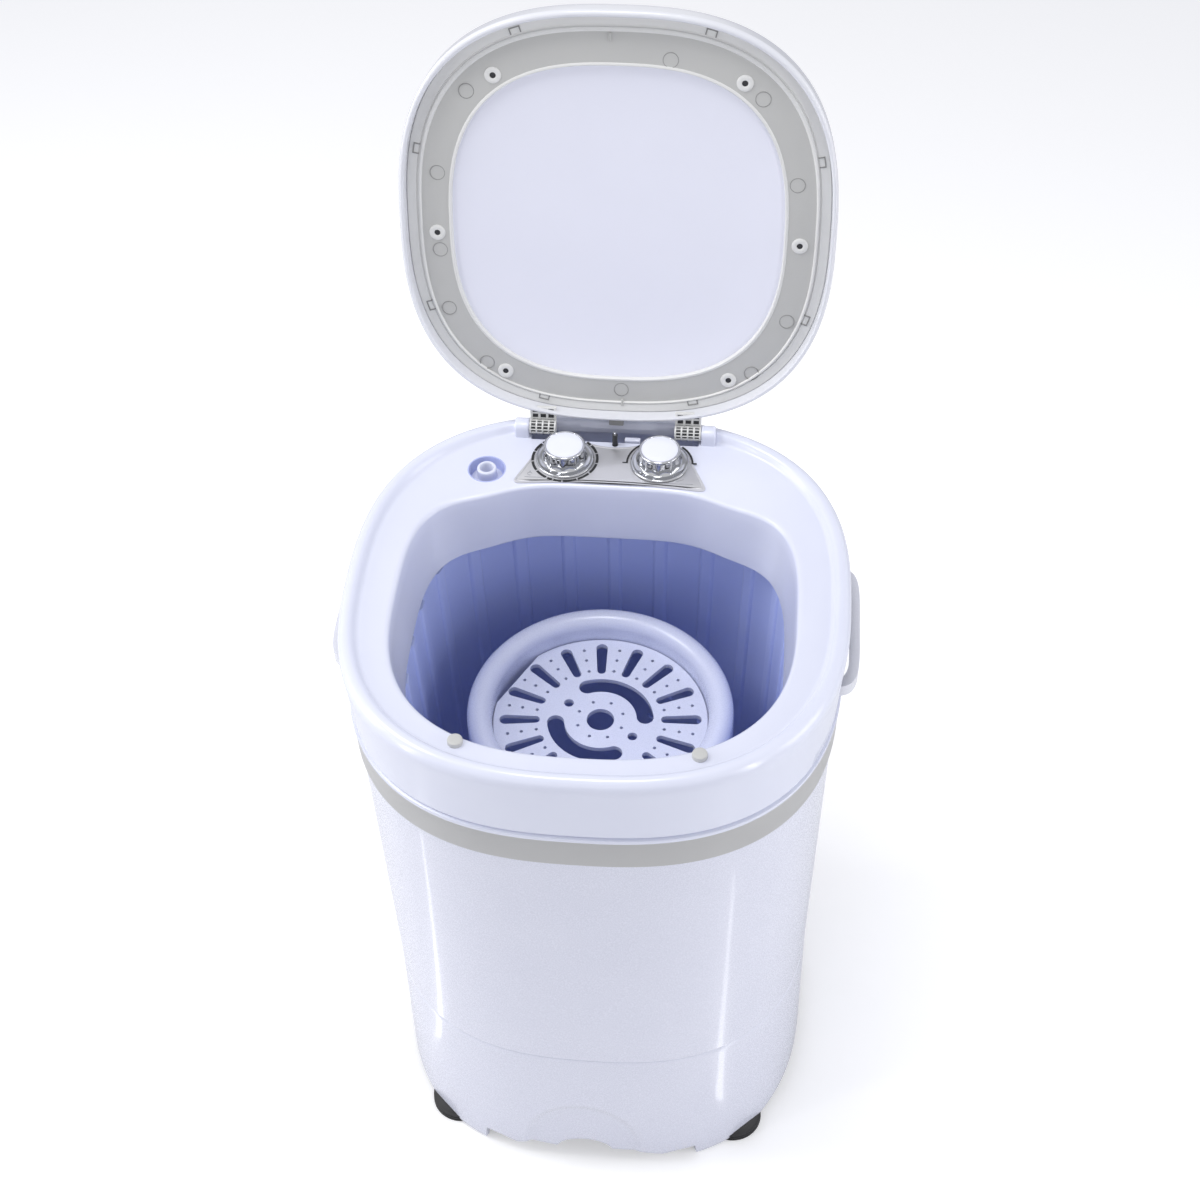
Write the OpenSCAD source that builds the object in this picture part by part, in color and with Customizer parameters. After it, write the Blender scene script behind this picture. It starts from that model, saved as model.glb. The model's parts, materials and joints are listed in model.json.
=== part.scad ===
// Portable washing machine with one tub, a lift-out spin basket and a rear-hinged lid.
// Origin: on the floor, on the drive axis. +Z is up and the front of the machine faces -Y.
// The lid stands open, leaning back on its stop.

/* [Top collar] */
// Width of the collar across the rim
collar_w = 360; // [356:1:368]
// Depth of the collar from front to back
collar_d = 362; // [360:1:370]
// Exponent of the rounded-square plan (2 is an ellipse)
plan_power = 2.58; // [2.5:0.01:2.8]
// Height of the rim's top above the floor
rim_z = 530; // [526:1:550]
// Width of the raised rim
rim_w = 13; // [10:0.5:14]
// Height of the rim above the deck
rim_step = 6; // [4:0.5:7]
// Rounding of the rim's edges
rim_edge = 3; // [2:0.5:4]
// Height of the collar's side
collar_h = 63; // [60:1:66]
// How much the side draws in towards its lower edge
collar_draft = 3.5; // [2.5:0.5:4]
// How much the front and back draw in towards the lower edge
collar_draft_front = 5; // [4:0.5:6]
// Wall of the collar's side
collar_wall = 2.6; // [2:0.1:3.2]
// Thickness of the deck
deck_t = 3; // [2.4:0.2:3.6]
// How far the lip under the side stands out past the side's foot
lip_out = 1.3; // [0.8:0.1:1.8]
// Depth of the groove between the lip and the side
groove_in = 1.4; // [1:0.1:1.6]
// Height of that groove
groove_h = 0.8; // [0.6:0.1:1.2]

/* [Loading opening] */
// Width of the opening in the deck
opening_w = 284; // [276:1:288]
// Front edge of the opening, forward of the drive axis
opening_front = 152; // [148:1:154]
// Back edge of the opening, behind the drive axis
opening_back = 103.5; // [103:0.5:104.5]
// How far forward of the drive axis the opening is widest
opening_mid = 20; // [10:1:30]
// Roundness of the opening's front half
opening_front_power = 2.6; // [2.3:0.1:3]
// Roundness of the opening's back half
opening_back_power = 3.6; // [3.2:0.1:4]
// Depth of the two dents in the opening's back edge
opening_dent = 7.5; // [0:0.5:8]
// Distance of the dents from the middle
dent_x = 95; // [90:1:100]
// Spread of a dent
dent_w = 20; // [14:1:24]
// Height of the skirt below the deck
skirt_h = 54; // [48:1:56]
// How much the skirt draws in at its sides
skirt_draft = 7; // [4:0.5:8]
// Wall of the skirt
skirt_wall = 2.4; // [2:0.1:3]

/* [Outer casing] */
// How far the casing's top lies inside the collar on each side
casing_in = 5; // [4:0.5:7]
// Width of the casing at the seam
casing_low_w = 338; // [334:1:342]
// How much less deep than wide the casing is
casing_less = 5; // [2:0.5:6]
// Wall of the casing
casing_wall = 2.6; // [2:0.1:3]
// Height of the seam between base and casing
seam_z = 160; // [150:1:166]
// Height of the trim band
band_h = 29; // [26:1:32]
// Thickness of the trim band
band_t = 1.8; // [1.4:0.1:2]
// Height of the lip between the band and the collar's side
lip_h = 6; // [4:0.5:8]

/* [Base] */
// How far the base's foot stands out past the seam on each side
base_flare = 1; // [0:0.5:3]
// Wall of the base skirt
base_wall = 3; // [2.4:0.2:3.6]
// Height of the base skirt's lower edge above the floor
base_z = 12; // [12:0.5:14]
// Height of the base plate's underside above the floor
plate_z = 36; // [34:1:38]
// Thickness of the base plate
plate_t = 4; // [3:0.5:5]
// Width of the arch in the front edge
arch_w = 56; // [46:1:60]
// Height of the arch in the front edge
arch_h = 14; // [10:1:16]
// Width of the raised stretch of the front edge
toe_w = 170; // [150:2:176]
// Height of the raised stretch of the front edge
toe_h = 5; // [3:0.5:7]

/* [Feet] */
// Diameter of a foot
foot_d = 50; // [40:1:52]
// Distance of each foot from the drive axis, along X and along Y
foot_pos = 116; // [108:1:117]
// Diameter of a foot's stud
foot_stud_d = 8; // [6:0.5:10]
// Diameter of the boss above a foot
foot_boss_d = 27; // [24:1:28]
// Grooves round a foot
foot_grooves = 3; // [2:1:4]

/* [Wash tub] */
// Width inside the tub at the top
tub_w = 276; // [274:1:282]
// Width inside the tub at the floor
tub_low_w = 256; // [252:1:262]
// Wall of the tub
tub_wall = 2.6; // [2:0.1:3.2]
// Height of the tub's floor above the ground
tub_floor_z = 176; // [174:1:180]
// Thickness of the tub's floor
tub_floor_t = 4; // [3:0.5:5]
// Exponent of the tub's rounded-square plan
tub_power = 2.8; // [2.6:0.1:3]
// Number of flat panels round the tub
tub_panels = 24; // [16:8:32]
// Depth of the steps between the panels
panel_step = 1.2; // [0.6:0.1:1.6]
// Diameter of the drain hole
drain_d = 22; // [18:1:24]

/* [Spin basket] */
// How far the balance ring stands out past the basket's wall
ring_out = 9; // [6:0.5:9.5]
// How far the balance ring reaches inwards past the basket's wall
ring_in = 9.5; // [8:0.5:11]
// Height of the balance ring's top above the floor
ring_z = 399; // [397:1:401]
// Height of the balance ring
ring_h = 32; // [30:1:34]
// Diameter of the basket's wall
basket_d = 184; // [180:1:188]
// Diameter of the basket at its floor
basket_low_d = 168; // [160:1:172]
// Wall of the basket
basket_wall = 2.2; // [1.8:0.1:2.6]
// Height of the basket's floor above the pulsator's disc
basket_lift = 14; // [12:1:18]
// Columns of holes round the basket
basket_columns = 16; // [12:1:20]
// Rows of holes up the basket
basket_rows = 5; // [3:1:6]
// Diameter of a hole in the basket
basket_hole_d = 6; // [4:0.5:7]
// Diameter of the post that rises in the basket
post_d = 38; // [37:1:42]
// Height of the post above the basket's floor
post_h = 26; // [22:1:34]

/* [Press plate] */
// Thickness of the press plate
press_t = 4; // [3:0.5:5]
// How far the press plate lies below the ring's top
press_drop = 20; // [18:1:22]
// Depth of the straight cut at the plate's edge
press_cut = 5; // [4:0.5:6]
// Diameter of the centre hole
press_bore_d = 21; // [16:1:22]
// Number of slots round the plate
press_slots = 16; // [12:1:18]
// Radius where a slot begins
slot_in_r = 49.5; // [48:0.5:52]
// Distance of a slot's outer end from the plate's edge
slot_margin = 9; // [8:0.5:13]
// Width of a slot at its inner end
slot_in_w = 6.6; // [4:0.2:7.4]
// Width of a slot at its outer end
slot_out_w = 9; // [6:0.2:10]
// Radius of the two finger slots
finger_r = 34.2; // [33:0.2:36]
// Width of a finger slot
finger_w = 13; // [8:0.5:13.5]
// Angle that a finger slot spans
finger_span = 104; // [80:2:110]

/* [Pulsator] */
// Diameter of the pulsator
pulsator_d = 170; // [150:1:176]
// Thickness of the pulsator's disc
pulsator_t = 5; // [4:0.5:6]
// Height of the vanes
vane_h = 8; // [5:0.5:10]
// Number of vanes
vanes = 6; // [3:1:8]
// Diameter of the pulsator's hub, which the basket sits over
hub_d = 28; // [26:0.5:30]

/* [Drive] */
// Diameter of the drive shaft
shaft_d = 12; // [10:0.5:13]
// Outer diameter of a bearing
bearing_d = 32; // [28:1:34]
// Height of a bearing
bearing_h = 10; // [8:0.5:11]
// Height of the drive bracket's underside
bracket_z = 92; // [90:1:96]
// Thickness of the drive bracket
bracket_t = 4; // [3:0.5:5]
// Diameter of the driven pulley where the belt runs
pulley_d = 100; // [90:1:108]
// Diameter of the motor pulley where the belt runs
motor_pulley_d = 24; // [20:1:30]
// Height of a pulley
pulley_h = 16; // [14:0.5:18]
// Height of the pulleys' undersides above the floor
pulley_z = 58; // [56:1:60]
// Height of the belt's section
belt_h = 10; // [8:0.5:10]
// Thickness of the belt
belt_t = 4.5; // [3.5:0.1:5]
// How far behind the drive axis the motor stands
motor_y = 98; // [96:1:102]
// Diameter of the motor
motor_d = 78; // [70:1:82]
// Height of the motor's case
motor_h = 64; // [56:1:66]
// Diameter of the motor's shaft
motor_shaft_d = 9; // [8:0.5:10]
// Diameter of the motor's capacitor
cap_d = 35; // [30:1:38]
// Height of the motor's capacitor
cap_h = 52; // [45:1:58]

/* [Lid] */
// Width of the lid
lid_w = 313; // [308:1:316]
// Length of the lid from its rear edge to its front edge
lid_l = 315; // [312:1:317]
// Exponent of the lid's rounded-square plan
lid_power = 2.65; // [2.5:0.01:2.8]
// Height of the lid's shell at its edge
lid_h = 18.5; // [17.5:0.5:20]
// Wall of the lid's shell
lid_wall = 3; // [2.4:0.2:3]
// Angle that the open lid leans back past upright
lid_lean = 12; // [8:1:15]
// Width of the white margin inside the lid's edge
lid_margin = 15; // [13:0.5:16]
// Width of the grey inner frame
frame_w = 23; // [20:0.5:25]
// How far the frame and the window lie towards the hinge from the lid's middle
frame_shift = 5; // [0:0.5:6]
// Thickness of the grey inner frame
frame_t = 2.6; // [2:0.2:3]
// Thickness of the window panel
window_t = 2.4; // [2:0.2:3]
// How far the window panel reaches under the shell
window_lap = 5; // [4:0.5:6]
// Gap between the bumpers' tops and the lid's edge
bumper_gap = 0.4; // [0.3:0.1:0.6]

/* [Hinge] */
// How far behind the drive axis the hinge pins lie
hinge_y = 160; // [159:0.5:161]
// Height of the hinge pins above the rim's top
hinge_up = 1; // [0.5:0.5:1.5]
// Distance from the hinge pins to the lid's rear edge
hinge_reach = 7.5; // [7:0.5:8]
// Inner face of a lug, from the middle of the machine
lug_x = 65.5; // [62:0.5:67]
// Width of a lug
lug_w = 11; // [9:0.5:12]
// Depth of a lug from front to back
lug_d = 12; // [11:0.5:13]
// Diameter of a hinge pin
pin_d = 5; // [4:0.5:6]
// Width of a knuckle
knuckle_w = 20; // [16:0.5:21]
// Diameter of a knuckle
knuckle_d = 11; // [10:0.5:12]

/* [Lid switch] */
// Diameter of the plunger
plunger_d = 2.6; // [2:0.2:3]
// Travel of the plunger
plunger_travel = 7.2; // [6.8:0.1:7.6]

/* [Control panel] */
// Width of the panel along its front edge
panel_w = 143; // [136:1:146]
// Width of the panel along its back edge
panel_back_w = 106; // [98:1:110]
// Depth of the panel
panel_d = 44; // [40:0.5:44]
// Thickness of the panel
panel_t = 1.2; // [0.8:0.1:1.6]
// Gap between the opening and the panel
panel_gap = 3.5; // [3:0.5:5]
// Distance of each knob from the middle of the machine
knob_x = 35.8; // [34:0.2:37]
// How far behind the drive axis the knobs stand
knob_y = 131.5; // [130:0.5:132]
// Diameter of a knob's flange
knob_flange_d = 44; // [38:1:44]
// Diameter of a knob's grip at the top
knob_d = 30.5; // [28:0.5:31]
// Height of a knob above the panel
knob_h = 14.5; // [11:0.5:14.5]
// Diameter of a knob's white cap
cap_disc_d = 27.6; // [24:0.2:28]
// Diameter of a control's shaft
spindle_d = 6; // [5:0.5:7]

/* [Water inlet] */
// Distance of the inlet from the middle of the machine
inlet_x = 93.5; // [92:0.5:96]
// How far behind the drive axis the inlet stands
inlet_y = 117.5; // [116:0.5:119]
// Diameter of the recess round the nozzle
inlet_well_d = 26.4; // [24:0.2:28]
// Depth of the recess
inlet_well_h = 10; // [8:0.5:12]
// Outer diameter of the nozzle
nozzle_d = 14.6; // [13:0.2:16]
// Bore of the nozzle
nozzle_bore_d = 9.8; // [8:0.2:10.4]

/* [Drain and cord] */
// Distance of the drain from the middle of the machine
drain_x = 100; // [96:1:104]
// Height of the drain spigot above the floor
drain_z = 132; // [128:1:138]
// Outer diameter of the drain spigot
spigot_d = 27; // [25:0.5:28]
// Wall of the drain pipe
drain_wall = 2; // [1.6:0.1:2.4]
// Height of the cord gland above the floor
gland_z = 84; // [70:1:100]
// Bore of the cord gland
gland_bore_d = 7.4; // [6:0.2:9]

/* [Side handles] */
// Length of a handle's bar
bar_l = 116; // [100:1:120]
// How far behind the drive axis the middle of a handle lies
handle_y = 6; // [0:1:8]
// Exponent of the bar's bowed plan
bar_power = 5; // [4:0.5:8]
// Width of the bar's ends where they meet the recess
bar_leg = 7; // [6:0.5:8]
// Height of a handle's bar
bar_h = 10; // [8:0.5:12]
// Thickness of a handle's bar
bar_t = 7; // [6:0.5:8]
// How far a handle stands out past the rim
bar_out = 8; // [6:0.5:9]
// Height of the handle's recess
grip_h = 34; // [32:0.5:36]
// Depth of the handle's recess from the collar's side
grip_d = 17; // [15:0.5:19]
// Wall of the handle's recess
grip_wall = 2.2; // [1.8:0.1:2.6]

/* [Hidden] */

// Points round each shell, and sides of true round pieces
plan_points = 72;
round_sides = 64;

// Clearances
run_fit = 0.05;
seat_gap = 0.3;
loose_gap = 1;
eps = 0.01;

// Overlap that joins two shapes of one moulding, and by which a cut runs past a face
lap = 1;

// Heights of the top
deck_z = rim_z - rim_step;
collar_low_z = rim_z - collar_h;
lip_low_z = collar_low_z - lip_h;
band_low_z = lip_low_z - band_h;
skirt_low_z = deck_z - skirt_h;
deck_low_z = deck_z - deck_t;

// Tub flange, clamped between the casing's edge and the collar
flange_t = 3;
casing_top_z = lip_low_z - 2 * flange_t;
flange_z = casing_top_z;
collar_seat_z = flange_z + flange_t;

// Half sizes of the collar and the casing
collar_a = collar_w / 2;
collar_b = collar_d / 2;
casing_top_a = collar_a - casing_in;
casing_low_a = casing_low_w / 2;
base_a = casing_low_a + base_flare;
foot_h = base_z - 0.5;

// Lid, hinge and frame
hinge_z = rim_z + hinge_up;
lid_open = 90 + lid_lean;
lid_low_z = rim_z;
lid_rear_y = hinge_y - hinge_reach;
lid_mid_y = lid_rear_y - lid_l / 2;
lid_top_z = lid_low_z + lid_h;
lid_plate_z = lid_top_z - lid_wall;
frame_out = lid_margin;
frame_in = lid_margin + frame_w;
frame_low_z = lid_plate_z - window_t - frame_t;

// Drive
tub_low_z = tub_floor_z - tub_floor_t;
pulsator_z = tub_floor_z + 4;
pulsator_top_z = pulsator_z + pulsator_t;
basket_z = pulsator_top_z + basket_lift;
housing_d = bearing_d + 14;
housing_low_z = tub_low_z - bearing_h - 14;
seal_h = 7;
motor_z = bracket_z + bracket_t;
pulley_top_z = pulley_z + pulley_h;
pulley_mid_z = pulley_z + pulley_h / 2;
pulley_lip = 5.5;

// Balance ring and press plate
ring_d = basket_d + 2 * ring_out;
ring_in_d = basket_d - 2 * ring_in;
press_z = ring_z - press_drop - press_t;
press_r = ring_in_d / 2 - loose_gap;
slot_out_r = press_r - slot_margin;

// Control panel
panel_front_y = opening_back + panel_gap;
panel_top_z = deck_z + panel_t;
knob_low_z = panel_top_z + loose_gap;
knob_top_z = panel_top_z + knob_h;

// Base
plate_top_z = plate_z + plate_t;

// Signed power, which draws a superellipse in all four quarters
function signed_power(v, p) = sign(v) * pow(abs(v), p);

// Ring of points on a superellipse at height z
function plan_ring(z, a, b, power, y = 0) = [
    for (i = [0 : plan_points - 1])
        let (t = 360 * i / plan_points)
        [a * signed_power(cos(t), 2 / power), y + b * signed_power(sin(t), 2 / power), z]
];

// Ring on the loading opening's outline, grown outwards by a distance
function opening_ring(z, grow, side_draft) = [
    for (i = [0 : plan_points - 1])
        let (t = 360 * i / plan_points)
        let (front = sin(t) < 0)
        let (power = front ? opening_front_power : opening_back_power)
        let (reach = front ? opening_front - opening_mid - side_draft
            : opening_back + opening_mid)
        let (x = (opening_w / 2 - side_draft + grow) * signed_power(cos(t), 2 / power))
        [x, -opening_mid + (reach + grow) * signed_power(sin(t), 2 / power) - dent_at(x, t), z]
];

// How far the dents draw the opening's back edge forward. They fade towards the sides.
function dent_at(x, t) = opening_dent * max(0, min(1, 2 * sin(t)))
    * exp(-pow((abs(x) - dent_x) / dent_w, 2) / 2);

// Ring of the tub: panels stand alternately proud and back
function tub_ring(z, a, step) = [
    for (i = [0 : 2 * plan_points - 1])
        let (t = 180 * i / plan_points)
        let (side = floor(i * tub_panels / (2 * plan_points)) % 2)
        let (reach = a - step * side)
        [reach * signed_power(cos(t), 2 / tub_power), reach * signed_power(sin(t), 2 / tub_power), z]
];

// Surface through rings of points. It closes on itself as a hollow wall, or is capped at both ends.
module loft(rings, hollow) {
    count = len(rings[0]);
    levels = len(rings);
    points = [for (ring = rings) each ring];
    bands = hollow ? levels : levels - 1;
    sides = [
        for (k = [0 : bands - 1], i = [0 : count - 1])
            let (low = k * count)
            let (high = ((k + 1) % levels) * count)
            let (next = (i + 1) % count)
            each [[low + i, high + i, high + next], [low + i, high + next, low + next]]
    ];
    caps = hollow ? [] : [
        [for (i = [0 : count - 1]) i],
        [for (i = [count - 1 : -1 : 0]) (levels - 1) * count + i]
    ];
    polyhedron(points = points, faces = concat(sides, caps), convexity = 8);
}

// Flat outline of a ring of points
function flat(ring) = [for (p = ring) [p[0], p[1]]];

// Half width of the casing's outside at height z
function casing_a(z) = casing_low_a
    + (casing_top_a - casing_low_a) * (z - seam_z) / (casing_top_z - seam_z);

// Depth of the plan's outside behind the axis, at a distance x from the middle
function plan_y(x, a, b, power) = b * pow(1 - pow(abs(x) / a, power), 1 / power);

module tube(outer_d, inner_d, h) {
    difference() {
        cylinder(d = outer_d, h = h, $fn = round_sides);
        translate([0, 0, -eps]) cylinder(d = inner_d, h = h + 2 * eps, $fn = round_sides);
    }
}

module at_feet() {
    for (x = [-1, 1], y = [-1, 1])
        translate([x * foot_pos, y * foot_pos, 0]) children();
}

module both_sides() {
    children();
    mirror([1, 0, 0]) children();
}

// Moves a piece of the closed lid to the open rest position
module open_lid() {
    translate([0, hinge_y, hinge_z]) rotate([-lid_open, 0, 0])
        translate([0, -hinge_y, -hinge_z]) children();
}

// Well behind the panel, where the lid's knuckles turn
well_front_y = hinge_y - lug_d / 2;
well_depth = 7;
well_wall = 2.4;
well_back_y = collar_b - rim_w - 1;
hump_h = 1.8;
hump_d = 2.5;

module collar_shell() {
    a = collar_a;
    b = collar_b;
    foot_a = a - collar_draft;
    foot_b = b - collar_draft_front;
    seat = casing_a(collar_seat_z);
    seat_b = seat - casing_less / 2;
    loft([
        plan_ring(collar_seat_z, seat, seat_b, plan_power),
        plan_ring(lip_low_z + seat_gap, seat, seat_b, plan_power),
        plan_ring(lip_low_z + seat_gap, foot_a + lip_out, foot_b + lip_out, plan_power),
        plan_ring(collar_low_z - groove_h, foot_a + lip_out, foot_b + lip_out, plan_power),
        plan_ring(collar_low_z - groove_h / 2, foot_a - groove_in, foot_b - groove_in, plan_power),
        plan_ring(collar_low_z, foot_a - groove_in, foot_b - groove_in, plan_power),
        plan_ring(collar_low_z + groove_h / 2, foot_a, foot_b, plan_power),
        plan_ring(rim_z - rim_edge, a, b, plan_power),
        plan_ring(rim_z - 0.4 * rim_edge, a - 0.3 * rim_edge, b - 0.3 * rim_edge, plan_power),
        plan_ring(rim_z, a - rim_edge, b - rim_edge, plan_power),
        plan_ring(rim_z, a - rim_w + rim_edge, b - rim_w + rim_edge, plan_power),
        plan_ring(deck_z + lap, a - rim_w, b - rim_w, plan_power),
        plan_ring(deck_low_z + lap, a - rim_w, b - rim_w, plan_power),
        plan_ring(deck_low_z + lap, foot_a - collar_wall, foot_b - collar_wall, plan_power),
        plan_ring(collar_seat_z, seat - collar_wall, seat_b - collar_wall, plan_power)
    ], true);
}

module deck_plate() {
    translate([0, 0, deck_low_z]) linear_extrude(deck_t) difference() {
        polygon(flat(plan_ring(0, collar_a - rim_w + 2 * lap, collar_b - rim_w + 2 * lap, plan_power)));
        polygon(flat(opening_ring(0, 0, 0)));
    }
}

// Skirt that hangs from the deck's underside round the opening
module opening_skirt() {
    color("#e6e8f6") loft([
        opening_ring(skirt_low_z, skirt_wall, skirt_draft),
        opening_ring(deck_low_z, skirt_wall, 0),
        opening_ring(deck_low_z, 0, 0),
        opening_ring(skirt_low_z, 0, skirt_draft)
    ], true);
}

module hinge_lug() {
    translate([lug_x, hinge_y - lug_d / 2, deck_low_z])
        cube([lug_w, lug_d, hinge_z - deck_low_z]);
    translate([lug_x, hinge_y, hinge_z]) rotate([0, 90, 0])
        cylinder(d = lug_d, h = lug_w, $fn = round_sides);
}

module grip_window(gap) {
    z = grip_z - grip_h / 2 - gap;
    x = collar_a - collar_draft - grip_d - gap;
    translate([x, handle_y - bar_l / 2 - gap, z])
        cube([collar_a, bar_l + 2 * gap, grip_h + 2 * gap]);
}

// Height of the middle of the handles
grip_z = collar_low_z + grip_h / 2 + 3;

// Switch hole and stop block beside it
switch_x = 0.5;
switch_y = lid_rear_y - lid_wall / 2;
slot_d = 5;
stop_x = 7.5;
stop_w = 12;

module top_collar() {
    well_x = lug_x - well_wall;
    color("#e6e8f6") difference() {
        union() {
            collar_shell();
            deck_plate();
            both_sides() hinge_lug();
            translate([-well_x - well_wall, well_front_y - hump_d, deck_low_z - well_depth])
                cube([2 * (well_x + well_wall), well_back_y + well_wall - well_front_y + hump_d,
                      well_depth + deck_t - eps]);
            translate([-well_x, well_front_y - hump_d, deck_low_z])
                cube([2 * well_x, hump_d, deck_t + hump_h]);
            translate([-inlet_x, inlet_y, deck_z - inlet_well_h - well_wall])
                cylinder(d = inlet_well_d + 2 * well_wall, h = inlet_well_h + well_wall - eps,
                         $fn = round_sides);
        }
        translate([-well_x, well_front_y, deck_z - well_depth])
            cube([2 * well_x, well_back_y - well_front_y, well_depth + lap]);
        translate([-lug_x, well_front_y, deck_z])
            cube([2 * lug_x, well_back_y - well_front_y, rim_step + lap]);
        translate([-inlet_x, inlet_y, deck_z - inlet_well_h])
            cylinder(d = inlet_well_d, h = inlet_well_h + loose_gap, $fn = round_sides);
        translate([-inlet_x, inlet_y, deck_z - inlet_well_h - 2 * well_wall])
            cylinder(d = nozzle_d + 2 * run_fit, h = 3 * well_wall, $fn = round_sides);
        for (x = [-knob_x, knob_x])
            translate([x, knob_y, deck_low_z - loose_gap])
                cylinder(d = neck_d + 2 * seat_gap, h = deck_t + 2 * loose_gap, $fn = round_sides);
        both_sides() translate([lug_x - eps, hinge_y, hinge_z]) rotate([0, 90, 0])
            cylinder(d = pin_d + 2 * run_fit, h = lug_w - 2, $fn = round_sides);
        both_sides() grip_window(seat_gap);
        translate([switch_x, switch_y, deck_low_z - well_depth - loose_gap])
            cylinder(d = slot_d, h = well_depth + deck_t + hump_h + 2 * loose_gap, $fn = round_sides);
    }
    color("#e6e8f6") translate([stop_x, well_front_y, deck_z - well_depth])
        cube([stop_w, 4, well_depth + 2]);
}

module outer_casing() {
    top = casing_top_a;
    low = casing_low_a;
    less = casing_less / 2;
    color("#e4e6f2") loft([
        plan_ring(seam_z, low, low - less, plan_power),
        plan_ring(casing_top_z, top, top - less, plan_power),
        plan_ring(casing_top_z, top - casing_wall, top - less - casing_wall, plan_power),
        plan_ring(seam_z, low - casing_wall, low - less - casing_wall, plan_power)
    ], true);
}

module trim_band() {
    less = casing_less / 2;
    high = casing_a(lip_low_z) + seat_gap;
    low = casing_a(band_low_z) + seat_gap;
    color("#b8b8b6") loft([
        plan_ring(band_low_z, low + band_t, low + band_t - less, plan_power),
        plan_ring(lip_low_z, high + band_t, high + band_t - less, plan_power),
        plan_ring(lip_low_z, high, high - less, plan_power),
        plan_ring(band_low_z, low, low - less, plan_power)
    ], true);
}

module base_skirt() {
    less = casing_less / 2;
    low = base_a;
    high = casing_low_a;
    tongue = casing_wall + seat_gap;
    color("#e4e6f2") difference() {
        union() {
            skirt_wall_surface(low, high, less, tongue);
            at_base_screws() translate([0, 0, plate_top_z])
                cylinder(d = screw_boss_d, h = screw_boss_h, $fn = round_sides);
        }
        at_base_screws() translate([0, 0, plate_top_z - eps])
            cylinder(d = screw_d + 2 * run_fit, h = screw_boss_h - 3, $fn = round_sides);
        translate([-toe_w / 2, -base_a, base_z - 1]) cube([toe_w, base_a / 2, toe_h + 1]);
        translate([0, -base_a / 2, base_z + toe_h + arch_h - arch_w / 2]) rotate([90, 0, 0])
            cylinder(d = arch_w, h = base_a, $fn = round_sides);
        translate([-drain_x, 0, drain_z]) rotate([-90, 0, 0])
            cylinder(d = pipe_d + loose_gap, h = collar_b, $fn = round_sides);
        translate([gland_x, 0, gland_z]) rotate([-90, 0, 0])
            cylinder(d = gland_neck_d + 2 * seat_gap, h = collar_b, $fn = round_sides);
    }
}

// Tongue of the base, which stands inside the casing's lower edge
tongue_h = 6;
tongue_t = 2;

// Half width inside the base skirt at height z
function skirt_in_a(z) = casing_low_a - base_wall
    + base_flare * (seam_z - tongue_h - z) / (seam_z - tongue_h - base_z);

module skirt_wall_surface(low, high, less, tongue) {
    loft([
        plan_ring(base_z, low, low - less, plan_power),
        plan_ring(seam_z, high, high - less, plan_power),
        plan_ring(seam_z, high - tongue, high - less - tongue, plan_power),
        plan_ring(seam_z + tongue_h, high - tongue, high - less - tongue, plan_power),
        plan_ring(seam_z + tongue_h, high - tongue - tongue_t, high - less - tongue - tongue_t, plan_power),
        plan_ring(seam_z - tongue_h, high - base_wall, high - less - base_wall, plan_power),
        plan_ring(base_z, low - base_wall, low - less - base_wall, plan_power)
    ], true);
}

module base_plate() {
    less = casing_less / 2;
    a = skirt_in_a(plate_top_z) - seat_gap;
    color("#c9cbd6") difference() {
        union() {
            translate([0, 0, plate_z]) linear_extrude(plate_t)
                polygon(flat(plan_ring(0, a, a - less, plan_power)));
            at_feet() translate([0, 0, foot_h])
                cylinder(d = foot_boss_d, h = plate_z - foot_h + eps, $fn = round_sides);
            translate([-cap_x, cap_y, plate_top_z - eps])
                cylinder(d = cap_d + 2 * run_fit + 2 * cap_cup_wall, h = cap_cup_h, $fn = round_sides);
        }
        at_feet() translate([0, 0, foot_h - eps])
            cylinder(d = foot_stud_d + 2 * seat_gap, h = plate_top_z, $fn = round_sides);
        translate([-cap_x, cap_y, plate_top_z])
            cylinder(d = cap_d + 2 * run_fit, h = cap_cup_h + lap, $fn = round_sides);
        translate([0, 0, plate_z - eps]) cylinder(d = vent_d, h = plate_t + 2 * eps, $fn = round_sides);
        at_base_screws() translate([0, 0, plate_z - eps])
            cylinder(d = screw_d + 2 * run_fit, h = plate_t + 2 * eps, $fn = round_sides);
    }
}

// Cup that holds the capacitor
cap_cup_h = 14;
cap_cup_wall = 2;

// Opening in the base plate under the pulley, and the screws that hold the plate
vent_d = 60;
screw_d = 4;
screw_head_d = 8;
screw_boss_d = 12;
screw_boss_h = 16;

module at_base_screws() {
    reach = skirt_in_a(plate_top_z) - screw_boss_d / 2 + lap;
    for (side = [0 : 3])
        rotate([0, 0, 90 * side])
            translate([reach - (side % 2) * casing_less / 2, 0, 0]) children();
}

module base_screws() {
    color("#9a9ca0") at_base_screws() {
        translate([0, 0, plate_z - 3]) cylinder(d = screw_head_d, h = 3, $fn = round_sides);
        translate([0, 0, plate_z - eps]) cylinder(d = screw_d, h = 14, $fn = round_sides);
    }
}

module feet() {
    groove = 1.2;
    pitch = foot_h / (foot_grooves + 1);
    color("#1c1c1e") at_feet() difference() {
        union() {
            cylinder(d = foot_d, h = foot_h, $fn = round_sides);
            cylinder(d = foot_stud_d, h = plate_z - 4, $fn = round_sides);
        }
        for (k = [1 : foot_grooves])
            translate([0, 0, k * pitch - groove / 2]) difference() {
                cylinder(d = foot_d + 2, h = groove, $fn = round_sides);
                translate([0, 0, -eps])
                    cylinder(d = foot_d - 2 * groove, h = groove + 2 * eps, $fn = round_sides);
            }
    }
}

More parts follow.
